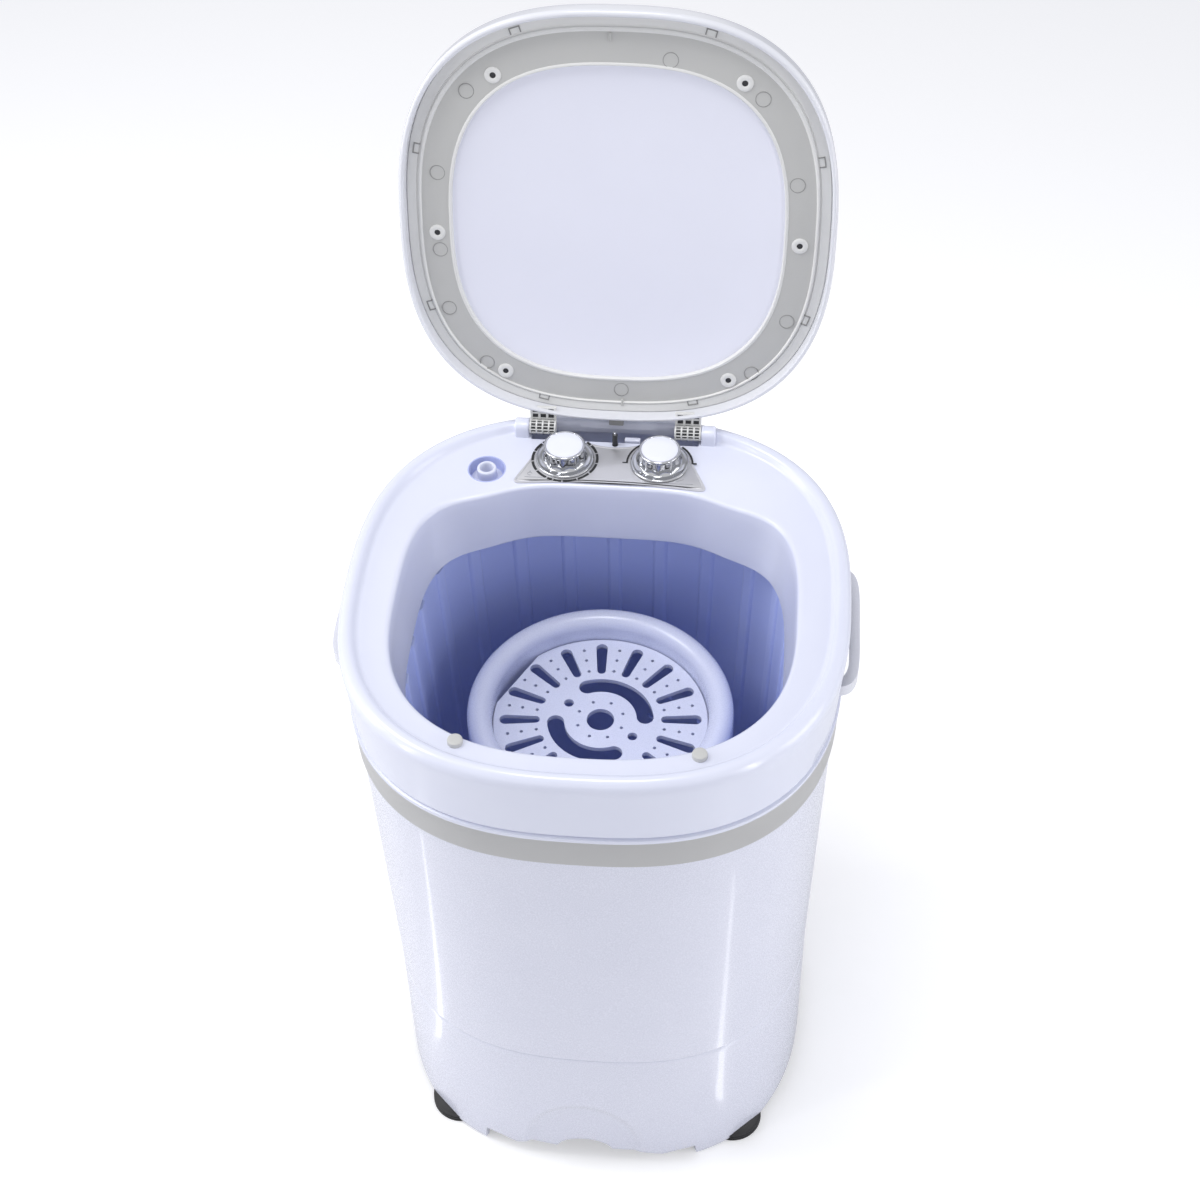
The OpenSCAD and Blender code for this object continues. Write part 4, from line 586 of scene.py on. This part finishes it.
def square_ring(z, half):
    """The flange's edge, in the plan of the casing."""
    return level(plan(half, half - NARROW, BODY_POWER, TUB_ROUND), z)


tub_rows = [tub_ring(172, 0.01), tub_ring(172, tub_half(TUB_FLOOR), 2.0),
            tub_ring(TUB_FLOOR, tub_half(TUB_FLOOR), 2.6), tub_ring(TUB_TOP, tub_half(TUB_TOP), 2.6),
            square_ring(TUB_TOP, 173.8), square_ring(457.6, 173.8), tub_ring(458, 139.5),
            tub_ring(457.4, 138.2)]
tub_rows += [tub_ring(z, tub_half(z)) for z in np.linspace(452, 190, 12)]
tub_rows += [tub_ring(z, half) for z, half in [
    (182, 126.5), (178, 123.5), (176.2, 119), (TUB_FLOOR, 112), (TUB_FLOOR, 15), (TUB_FLOOR, 0.01)]]
HOUSING = [(16.05, 149), (16.05, 148.2), (16.6, 148), (22.4, 148), (23, 148.6), (23, 173), (16.05, 173)]
POST = [(2.6, 96), (8, 96), (8, 173), (2.6, 173)]
piece("tub", "machine", tub_pp, [
    skin(tub_rows), turned(HOUSING, looped=True),
    *[turned(POST, x, y, 40, True) for x in (-34, 34) for y in (-34, 49)]],
    ("wash_tub", "tub_flange", "bearing_housing", "tub_posts"))

# Spin basket, balance ring and press plate

# The balance ring's round section, and the lower edges of its shell
ring_profile = circle(9.25, 91.75, 389.75, 40)
ring_low = [(101, 372), (101, 367.3), (100.6, 367), (92.4, 367), (92.4, 374.6), (89.6, 374.6),
            (89.6, 367.3), (89.2, 367), (82.9, 367), (82.5, 367.4)]
ring_top = ring_profile[ring_profile[:, 1] > 389.7]
# Direction of the straight cut in the press plate, and how far to each side of it the ledge stops, in
# degrees
CUT_TURN, CUT_HALF = 152, 18


def ledge():
    """The ledge under the press plate: its section runs round the axis and stops at the plate's cut."""
    section = soften([(78.5, 372.2, 0.4), (83, 372.2, 0.4), (83, 374.8, 0.4), (78.5, 374.8, 0.4)], 3)
    angle = np.radians(np.linspace(CUT_TURN + CUT_HALF, CUT_TURN + 360 - CUT_HALF, 241))[:, None]
    r, z = section.T
    return skin(np.stack([r * np.cos(angle), r * np.sin(angle), z + 0 * angle], -1), capped=True)


piece("balance_ring_shell", "basket", basket_pp, [
    turned(np.concatenate([[(82.5, 389)], ring_top[::-1], [(101, 389)], ring_low]), count=240, looped=True),
    ledge()], ("balance_ring",))
dressed("spin_basket", tub_pp, 0.25)
dressed("press_plate", basket_pp, 0.55)
dressed("pulsator", pulsator_pp, 0.8)

# Control panel and knobs

def panel_outline():
    """Rounded trapezium whose back edge dips forward by 4 (1 - (x/24)^2)^1.5 in the middle, and whose
    front edge bows back by 3.6 (1 - (x/66)^2)."""
    corners = soften([(-73.5, 103.6, 6), (73, 103.6, 6), (53, 151, 13), (-53, 151, 13)], 8)
    spots = np.concatenate([corners, corners[:1]])
    run = np.concatenate([[0], np.cumsum(np.linalg.norm(np.diff(spots, axis=0), axis=1))])
    even = np.linspace(0, run[-1], 360, endpoint=False)
    line = np.column_stack([np.interp(even, run, spots[:, k]) for k in (0, 1)])
    sag = 4 * np.clip(1 - (line[:, 0] / 24) ** 2, 0, None) ** 1.5
    line[:, 1] -= np.where(line[:, 1] > 140, sag, 0)
    line[:, 1] += np.where(line[:, 1] < 104, 3.6 * np.clip(1 - (line[:, 0] / 66) ** 2, 0, None), 0)
    return line


PANEL_TOP = 525.2
piece("panel", "machine", panel_metal, [skin(
    [level(inward(panel_outline(), d), z) for d, z in [
        (0.3, 523.9), (0, 524.3), (0, 524.9), (0.35, 525.25), (1.5, 525.25), (1.8, 525.0), (2.2, 525.0),
        (2.5, PANEL_TOP)]], capped=True)], ("control_panel",))


def arc_mark(x, y, r, start, end, width, z=PANEL_TOP, height=0.16):
    """A flat band of the given width on a circle of radius r, from start to end degrees."""
    t = np.radians(np.linspace(start, end, max(4, int(abs(end - start) / 3) + 2)))
    across = np.array([r - width / 2, r + width / 2, r + width / 2, r - width / 2])[:, None]
    height = np.array([z - 0.2, z - 0.2, z + height, z + height])[:, None]
    ring = np.stack([x + across * np.cos(t), y + across * np.sin(t), height + 0 * t], -1)
    return skin(np.swapaxes(ring, 0, 1), capped=True)


def tick(x, y, length, width, angle, z=PANEL_TOP):
    """A short straight mark, turned by angle degrees."""
    c, s = np.cos(np.radians(angle)), np.sin(np.radians(angle))
    corners = np.array([(-length, -width), (length, -width), (length, width), (-length, width)]) / 2
    outline = corners @ np.array([(c, s), (-s, c)]) + (x, y)
    return skin([level(outline, z - 0.2), level(outline, z + 0.14)], capped=True)


dial = [arc_mark(-KNOB_X, KNOB_Y, 24.4, a, b, 2.0) for a, b in [
    (-88, -64), (-61, -38), (-35, -10), (-7, 16), (19, 40), (43, 52), (128, 138), (141, 162), (165, 188),
    (191, 214), (217, 240), (243, 252), (255, 269)]]
arcs = [arc_mark(KNOB_X, KNOB_Y, 24.6, 128, 182, 1.5), arc_mark(KNOB_X, KNOB_Y, 24.6, 2, 50, 1.5),
        tick(9.8, 130.4, 4.0, 1.2, 0), tick(61.6, 132.6, 4.0, 1.2, 0)]
piece("dial_marks", "machine", ink, dial + arcs)
piece("panel_lines", "machine", faint_ink, [
    tick(-52, 109.9, 24, 0.35, 0), tick(50, 109.9, 24, 0.35, 0), tick(52, 113.4, 7, 0.35, 25),
    arc_mark(-60.5, 113.5, 1.6, 0, 300, 0.35), tick(-60.5, 115.5, 0.4, 2.4, 0),
    tick(-95.9, 152.5, 7.8, 0.9, 20.6, 524.0)])


def knob(x):
    """Turned profile of (radius, height, share) with ten scallops down its side: each point moves in by
    1.1 share |cos 5a|^1.5."""
    profile = np.array([
        (0.4, 525.75, 0), (21.2, 525.75, 0), (21.9, 526.0, 0), (22, 526.5, 0), (21.6, 527.0, 0),
        (20.8, 527.2, 0), (20.2, 526.9, 0), (17.6, 526.9, 0), (16.9, 527.1, 0), (16.5, 527.7, 0.3),
        (16.35, 528.6, 0.9), (16.3, 530, 1), (16.1, 533, 1), (15.9, 536.4, 1), (15.8, 537.4, 0.8),
        (15.85, 538.1, 0.2), (15.75, 539.0, 0), (15.35, 539.5, 0), (14.7, 539.7, 0), (14.1, 539.6, 0),
        (13.85, 539.2, 0), (13.82, 538.2, 0), (3.1, 538.1, 0), (0.4, 538.1, 0)])
    angle = np.linspace(0, 2 * np.pi, 200, endpoint=False)
    flute = 1.1 * np.abs(np.cos(5 * angle)) ** 1.5
    r = profile[:, :1] - profile[:, 2:] * flute
    z = profile[:, 1:2] + 0 * angle
    return skin(np.stack([x + r * np.cos(angle), KNOB_Y + r * np.sin(angle), z], -1), looped=True)


def dome(x):
    """White cap: height 540.1 - 0.75 (r/13.8)^4."""
    r = np.concatenate([[0.01], np.linspace(1, 13.2, 14), [13.5, 13.7, 13.78, 13.78, 0.01]])
    z = 540.1 - 0.75 * (r / 13.8) ** 4
    z[-2:] = 538.2
    return turned(np.column_stack([r, z]), x, KNOB_Y)


for side, x in (("timer", -KNOB_X), ("selector", KNOB_X)):
    piece(side + "_knob_plated", side, chrome_plate, [knob(x)], (side + "_knob",), crease=42)
    piece(side + "_knob_disc", side, cap_abs, [dome(x)], (side + "_knob_cap",))

# Handles

dressed("right_handle", handle_abs, 1.4)
dressed("left_handle", handle_abs, 1.4)

# Lid, worked out closed and then leaned back about the hinge pins

LEAN = np.radians(-102)
LID_POWER = 2.65


def opened(points):
    """(y, z) turned by LEAN about the hinge pins."""
    y, z = points[..., 1] - HINGE_Y, points[..., 2] - HINGE_Z
    return np.stack([points[..., 0], HINGE_Y + y * np.cos(LEAN) - z * np.sin(LEAN),
                     HINGE_Z + y * np.sin(LEAN) + z * np.cos(LEAN)], -1)


def leaned(parts):
    """Parts of the closed lid, carried to where it stands open."""
    return [(opened(points), quads, ends) for points, quads, ends in parts]


def lid_plan(inset, shift=0.0):
    """The lid's rounded square, inset from its edge; shift moves it towards the hinge."""
    return plan(max(156.5 - inset, 0.01), max(157.5 - inset, 0.01), LID_POWER, middle=-5 + shift)


def lid_rows(profile):
    """Rings from (inset, height, shift)."""
    return [level(lid_plan(inset, shift), z) for inset, z, shift in profile]


# The frame and the window sit this much nearer to the hinge than the shell
SHIFT = 5.0
piece("lid_outer", "lid", lid_abs, leaned([skin(lid_rows([
    (0.75, 546.0, 0), (0.5, 543, 0), (0.25, 538, 0), (0.05, 534, 0), (0.0, 532.6, 0), (0.3, 531.3, 0),
    (1.0, 530.45, 0), (2.0, 530.02, 0), (2.8, 530.1, 0.3), (3.4, 530.6, 0.7), (3.8, 531.5, 1.1),
    (4.0, 532.8, 1.2), (4.1, 536, 1.3), (4.2, 540, 1.4), (4.3, 545.4, 1.4), (33, 545.45, SHIFT),
    (33, 549.7, SHIFT), (31.5, 550, SHIFT), (28, 550, SHIFT), (20, 549.7, 3), (12, 549.2, 0), (7, 548.6, 0),
    (4, 548.0, 0), (2.1, 547.2, 0)]), looped=True)]), ("lid_shell",))

piece("lid_margin", "lid", pale_abs, leaned([skin(lid_rows([
    (4.35, 545.3, 1.4), (4.35, 541.9, 1.4), (4.9, 541.3, 1.3), (8.0, 541.2, 0.6), (11.2, 541.1, 1.6),
    (11.6, 541.8, 1.7), (12.3, 541.8, 2.0), (12.6, 540.7, 2.1), (13.1, 540.35, 2.3), (14.0, 540.35, 2.6),
    (14.5, 540.7, 2.8), (15.0, 541.5, 3), (15.0, 545.3, 3)]), looped=True)]))
piece("lid_inner_band", "lid", frame_abs, leaned([skin(lid_rows([
    (15.0, 545.3, 3), (15.0, 541.5, 3), (16.0, 541.6, 3.6), (18.5, 541.3, 4.4), (26, 541.0, SHIFT),
    (34.4, 540.9, SHIFT), (34.4, 545.3, SHIFT)]), looped=True)]), ("lid_inner_frame",))
piece("lid_inner_lip", "lid", pale_abs, leaned([skin(lid_rows([
    (34.4, 545.3, SHIFT), (34.4, 540.9, SHIFT), (34.9, 540.5, SHIFT), (35.5, 540.2, SHIFT),
    (36.2, 540.3, SHIFT), (36.7, 540.9, SHIFT), (36.9, 542, SHIFT), (37.0, 543.1, SHIFT),
    (37.0, 545.3, SHIFT)]), looped=True)]))

piece("lid_pane", "lid", window_pc, leaned([skin(lid_rows([
    (157.4, 548.4, SHIFT), (120, 548.3, SHIFT), (90, 547.8, SHIFT), (70, 546.9, SHIFT), (54, 545.6, SHIFT),
    (44, 544.3, SHIFT), (39, 543.4, SHIFT), (36.5, 543.1, SHIFT), (34.5, 543.1, SHIFT),
    (34.5, 545.3, SHIFT), (33.3, 545.4, SHIFT), (33.3, 549.9, SHIFT), (34.6, 550.5, SHIFT),
    (37, 550.8, SHIFT), (41, 551, SHIFT), (157.4, 551, SHIFT)]))]), ("lid_window",), crease=50)

# Face of the closed lid's frame; places of its screw bosses at +x and -x, and of its moulded circles
BAND_Z = 541.05
BOSSES = [(87, -111.5), (131, 7.5), (84, 118.5)]
ROUNDS = [(-106, -99.5), (100, -100.5), (-129, -38.5), (127, -38.5), (-129.5, 21), (-125, 68), (125, 68),
          (-98, 112), (101, 112), (3.6, 130.5), (35.8, -126)]
# The stretch of each circle that is painted as shade: x, y and its two bearings in degrees
PAINTED_SHADE_ARCS = [(-106, -99.5, 150, 330), (100, -100.5, 20, 230), (-129, -38.5, 100, 260), (-129.5, 21, 170, 330),
        (-125, 68, 180, 350), (127, -38.5, 60, 250), (-98, 112, 120, 250), (3.6, 130.5, 90, 330)]
# Directions of the eight clip slots from the lid's middle, in degrees
CLIPS = np.array([-117, -66, -160, -20, 153, 27, 111, 68])


def clip_spots():
    """Each clip slot's place on the margin, and the direction of the margin there."""
    ends = [plan(146.6, 147.6, LID_POWER, np.radians(CLIPS + step), middle=-4.2) for step in (-1, 1)]
    run = ends[1] - ends[0]
    return zip(*np.mean(ends, axis=0).T, np.degrees(np.arctan2(run[:, 1], run[:, 0])))


def hanging_ring(profile, x, y, count=48):
    """A turned ring under the frame's face; profile heights count down from the face."""
    return turned([(r, BAND_Z - depth) for r, depth in profile], x, y, count, looped=True)


piece("lid_bosses", "lid", pale_abs, leaned([
    hanging_ring([(2.2, -0.4), (2.2, 0.75), (2.7, 1.0), (5.1, 1.0), (5.8, 0.6), (6.0, -0.4)], side * x, y)
    for x, y in BOSSES for side in (-1, 1)]))
SCREW_HEAD = [(0.01, -0.35), (1.0, -0.35), (2.2, -0.2), (2.2, 0.3), (1.5, 0.3), (1.5, 4), (0.01, 4)]
piece("lid_screw_heads", "lid", black_abs, leaned([
    turned([(r, BAND_Z + up) for r, up in SCREW_HEAD], side * x, y, 32)
    for x, y in BOSSES for side in (-1, 1)]), ("lid_screws",))
# Thin rings of painted shade that outline the frame's moulded circles
piece("lid_round_marks", "lid", grey_tab_and_painted_shade_abs, leaned([
    hanging_ring([(5.05, -0.3), (5.1, 0.2), (5.3, 0.3), (5.5, 0.2), (5.55, -0.3)], x, y)
    for x, y in ROUNDS]))


def clip_notch(x, y, angle):
    """A shallow bracket-shaped slot, drawn as three strokes of painted shade round a small tongue."""
    c, s = np.cos(np.radians(angle)), np.sin(np.radians(angle))
    turn = np.array([(c, s), (-s, c)])
    strokes = [(-3.6, 0, 0.8, 4.2), (3.6, 0, 0.8, 4.2), (0, -2.2, 8.0, 0.8)]
    parts = []
    for u, v, w, h in strokes:
        corners = np.array([(-w, -h), (w, -h), (w, h), (-w, h)]) / 2 + (u, v)
        outline = corners @ turn + (x, y)
        parts.append(skin([level(outline, 542.2), level(outline, 540.75)], capped=True))
    return parts


# Painted shade: the shaded side of each moulded circle and the shade inside the clip slots
piece("lid_painted_shade_notches", "lid", grey_tab_and_painted_shade_abs, leaned([
    *[arc_mark(x, y, 5.35, a, b, 0.4, BAND_Z, -0.24) for x, y, a, b in PAINTED_SHADE_ARCS],
    *[part for spot in clip_spots() for part in clip_notch(*spot)]]))
piece("lid_nubs", "lid", frame_abs, leaned([
    bar((x - 0.9, y - 3, 540.2), (x + 0.9, y + 3, 542.5), 0.5, 0.5)
    for x, y in [(-6, -141), (4.5, 141.5)]]))

# Hinge knuckles: a drum with ribs along and round it, and an arm into the lid


KNUCKLE_X = 45.2


def knuckle(x):
    """Radius 4.2 with ribs to 5.5: five rings across the width and twelve along it."""
    across = np.linspace(0, 20, 81)
    angle = np.linspace(0, 2 * np.pi, 240, endpoint=False)
    rings = np.maximum.reduce([1 - smooth(np.abs(across - c), 0.55, 0.8)
                               for c in (0.6, 5.3, 10, 14.7, 19.4)])
    around = 1 - smooth(np.abs((angle * 12 / (2 * np.pi) + 0.5) % 1 - 0.5), 0.12, 0.17)
    r = 4.2 + 1.3 * np.maximum(rings[:, None], around[None, :])
    points = np.stack([x + across[:, None] + 0 * angle, HINGE_Y + r * np.cos(angle),
                       HINGE_Z + r * np.sin(angle)], -1)
    return skin(points, capped=True)


def knuckle_arm(x):
    """Two plates and three cross ribs, between the drum and the shell."""
    plates = [bar((x + a, 144.6, 533.1), (x + a + 1.8, 158.5, 536.3), 0.3, 0.4)
              for a in (0.1, 6.1, 12.1, 18.1)]
    ribs = [bar((x + 0.2, y, 533.4), (x + 19.8, y + 1.5, 536.0), 0.3, 0.3) for y in (144.7, 149, 153.4)]
    return plates + ribs + [bar((x + 0.3, 144.8, 535.3), (x + 19.7, 156.8, 536.5), 0.2, 0.4)]


# Black drums and plates just inside the knuckles' ribs and arms: painted shade in the pockets between the
# ribs
piece("hinge_knuckle_painted_shade", "lid", black_abs, leaned([
    *both(slab(circle(4.75, HINGE_Y, HINGE_Z, 48), 45.5, 65, 0.2, "x")),
    *both(bar((45.6, 145, 533.6), (64.9, 157, 535.6), 0.1, 0.3))]))
piece("hinge_knuckles", "lid", pale_abs, leaned(
    [part for one in [knuckle(KNUCKLE_X), *knuckle_arm(KNUCKLE_X)] for part in both(one)]),
    ("lid_knuckles",))
piece("switch_tab", "lid", grey_tab_and_painted_shade_abs, leaned([
    bar((-5.0, 152.3, 533), (6.0, 157.5, 539), 0.6, 0.9)]), ("lid_switch_tab",))
piece("hinge_pin_rods", "machine", zinc_steel, both(
    slab(circle(2.5, HINGE_Y, HINGE_Z, 48), 45.5, 74, 0.4, "x")), ("hinge_pins",))
piece("switch_plunger", "plunger", chrome_plate, [
    turned([(0.01, 513), (1.3, 513), (1.3, 535.9), (1.1, 536.3), (0.7, 536.5), (0.01, 536.5)],
           *PLUNGER, 32)], ("lid_plunger",))
piece("switch_plunger_sleeve", "plunger", black_abs, [
    turned([(1.25, 521.8), (2.0, 521.8), (2.0, 534.2), (1.7, 534.6), (1.25, 534.6)], *PLUNGER, 40, True)])

# Parts inside the machine keep their CAD shapes, with rounded edges and their own finishes

for node, material, slot, width in [
        ("base_plate", plate_pp, "pipe_grey", 0.4), ("timer_unit", cream_nylon, "unit_cream", 0.5),
        ("selector_unit", black_abs, "black_plastic", 0.5), ("timer_spindle", zinc_steel, "steel", 0.2),
        ("selector_spindle", zinc_steel, "steel", 0.2), ("inlet_spout", plate_pp, "pipe_grey", 0.4),
        ("lid_switch", black_abs, "black_plastic", 0.4), ("pulsator_screw", zinc_steel, "steel", 0.3),
        ("drive_shaft", zinc_steel, "steel", 0.4), ("upper_bearing", zinc_steel, "steel", 0.4),
        ("lower_bearing", zinc_steel, "steel", 0.4), ("shaft_seal", black_abs, "black_plastic", 0.3),
        ("drive_bracket", bracket_steel, "bracket_steel", 0.4),
        ("driven_pulley", bracket_steel, "bracket_steel", 0.5),
        ("pulley_nut", zinc_steel, "steel", 0.4), ("drive_belt", belt_rubber, "belt_rubber", 0.5),
        ("motor_case", motor_paint, "motor_metal", 1.0), ("motor_shaft", zinc_steel, "steel", 0.3),
        ("motor_pulley", bracket_steel, "bracket_steel", 0.4),
        ("capacitor", capacitor_skin, "capacitor_case", 0.3),
        ("drain_pipe", pipe_pp, "pipe_grey", 0.5), ("cord_gland", black_abs, "black_plastic", 0.4),
        ("base_screws", zinc_steel, "steel", 0.3), ("bracket_bolts", zinc_steel, "steel", 0.3)]:
    dressed(node, material, width)

# Camera: placed by the photograph's own lines

scene = bpy.context.scene
FRAME_PX, FOCAL_PX = 1200, 1998
CAMERA_AT = np.array([107.1, -968, 1551.6])
YAW, PITCH, ROLL = -0.108, 0.818, 0.027
ahead = np.array([np.sin(YAW) * np.cos(PITCH), np.cos(YAW) * np.cos(PITCH), -np.sin(PITCH)])
level_right = np.array([np.cos(YAW), -np.sin(YAW), 0])
level_down = np.cross(ahead, level_right)
right = np.cos(ROLL) * level_right + np.sin(ROLL) * level_down
down = -np.sin(ROLL) * level_right + np.cos(ROLL) * level_down
lens = bpy.data.cameras.new("camera")
lens.sensor_width, lens.sensor_fit, lens.lens = 36, "HORIZONTAL", 36 * FOCAL_PX / FRAME_PX
camera = bpy.data.objects.new("camera", lens)
scene.collection.objects.link(camera)
grip = np.eye(4)
grip[:3, :3] = np.column_stack([right, -down, -ahead])
grip[:3, 3] = CAMERA_AT * MM
camera.matrix_world = Matrix(grip.tolist())
scene.camera = camera

# Studio: white world for the eye and for reflections, soft lamps at the object

scene.view_settings.view_transform = "Standard"
world = bpy.data.worlds.new("studio")
scene.world = world
world.use_nodes = True
sky = world.node_tree
sky.nodes.clear()
path = add(sky, "ShaderNodeLightPath")
seen = add(sky, "ShaderNodeMath", {0: path.outputs["Is Camera Ray"],
                                   1: path.outputs["Is Transmission Ray"]}, operation="MAXIMUM")
seen_or_glossy = add(sky, "ShaderNodeMath", {0: seen.outputs[0], 1: path.outputs["Is Glossy Ray"]},
                     operation="MAXIMUM")
glow = add(sky, "ShaderNodeBackground", {"Color": (1, 1, 1, 1), "Strength": 1.0})
soft = add(sky, "ShaderNodeBackground", {"Color": linear("#F3F5FF"), "Strength": 0.48})
blend = add(sky, "ShaderNodeMixShader", {0: seen_or_glossy.outputs[0], 1: soft.outputs[0],
                                         2: glow.outputs[0]})
add(sky, "ShaderNodeOutputWorld", {"Surface": blend.outputs[0]})


def lamp(name, spot, aim, width, height, power):
    """A white soft box at spot that looks at aim; sizes are in metres and power in watts."""
    light = bpy.data.lights.new(name, "AREA")
    light.shape, light.size, light.size_y, light.energy = "RECTANGLE", width, height, power
    made = bpy.data.objects.new(name, light)
    spot, aim = np.array(spot, float), np.array(aim, float)
    back = (spot - aim) / np.linalg.norm(spot - aim)
    side = np.cross([0, 0, 1], back)
    side /= np.linalg.norm(side)
    place = np.eye(4)
    place[:3, :3] = np.column_stack([side, np.cross(back, side), back])
    place[:3, 3] = spot
    made.matrix_world = Matrix(place.tolist())
    scene.collection.objects.link(made)
    return made


DECK_AIM, BODY_AIM, BASE_AIM = (0, 0, 0.4), (0, 0, 0.35), (0, 0, 0.3)
lamp("top_box", (-0.1, -0.05, 2.4), DECK_AIM, 0.5, 0.5, 10)
lamp("high_box", (-1.15, 0.0, 2.1), DECK_AIM, 0.7, 0.7, 12)
lamp("left_box", (-2.0, -0.1, 0.9), BODY_AIM, 0.9, 1.4, 12)
lamp("right_box", (2.0, -0.2, 0.9), BODY_AIM, 0.9, 1.4, 12)
lamp("left_strip", (-1.5, -1.0, 0.7), BODY_AIM, 0.12, 1.2, 5)
lamp("right_strip", (1.4, -1.1, 0.7), BODY_AIM, 0.12, 1.2, 6)
lamp("front_fill", (-0.4, -2.2, 1.0), BASE_AIM, 1.2, 1.0, 1)
# Two strips on the floor, mirrored by the body as the two upright lines in the photograph, and seen no
# other way. Each faces up; its aim leans a hair's breadth the way that the strip runs, and so turns it.
for name, x, y, run_x, run_y, power in (("left_line", -0.302, -0.157, -1.72e-4, -0.61e-4, 0.022),
                                        ("right_line", 0.238, -0.222, 2.14e-4, -1.17e-4, 0.020)):
    line = lamp(name, (x, y, 0.003), (x + run_x, y + run_y, 1), 0.012, 0.22, power)
    line.visible_camera = line.visible_diffuse = False

floor_mesh = bpy.data.meshes.new("floor")
floor_mesh.from_pydata([(30 * u, 30 * v, 0) for u, v in ((-1, -1), (1, -1), (1, 1), (-1, 1))], [],
                       [(0, 1, 2, 3)])
floor = bpy.data.objects.new("floor", floor_mesh)
scene.collection.objects.link(floor)
# Matt white paper, lifted for the camera alone, so that it reads as white and keeps the shadow
paper = bpy.data.materials.new("white_paper_sweep")
paper.use_nodes = True
sheet_tree = paper.node_tree
sheet_tree.nodes.clear()
sight = add(sheet_tree, "ShaderNodeLightPath").outputs["Is Camera Ray"]
matt = add(sheet_tree, "ShaderNodeBsdfDiffuse", {"Color": (0.86, 0.86, 0.86, 1)})
lift = add(sheet_tree, "ShaderNodeEmission", {"Color": (1, 1, 1, 1), "Strength": 0.31})
lit = add(sheet_tree, "ShaderNodeAddShader", {0: matt.outputs[0], 1: lift.outputs[0]})
choice = add(sheet_tree, "ShaderNodeMixShader", {0: sight, 1: matt.outputs[0], 2: lit.outputs[0]})
add(sheet_tree, "ShaderNodeOutputMaterial", {"Surface": choice.outputs[0]})
floor_mesh.materials.append(paper)
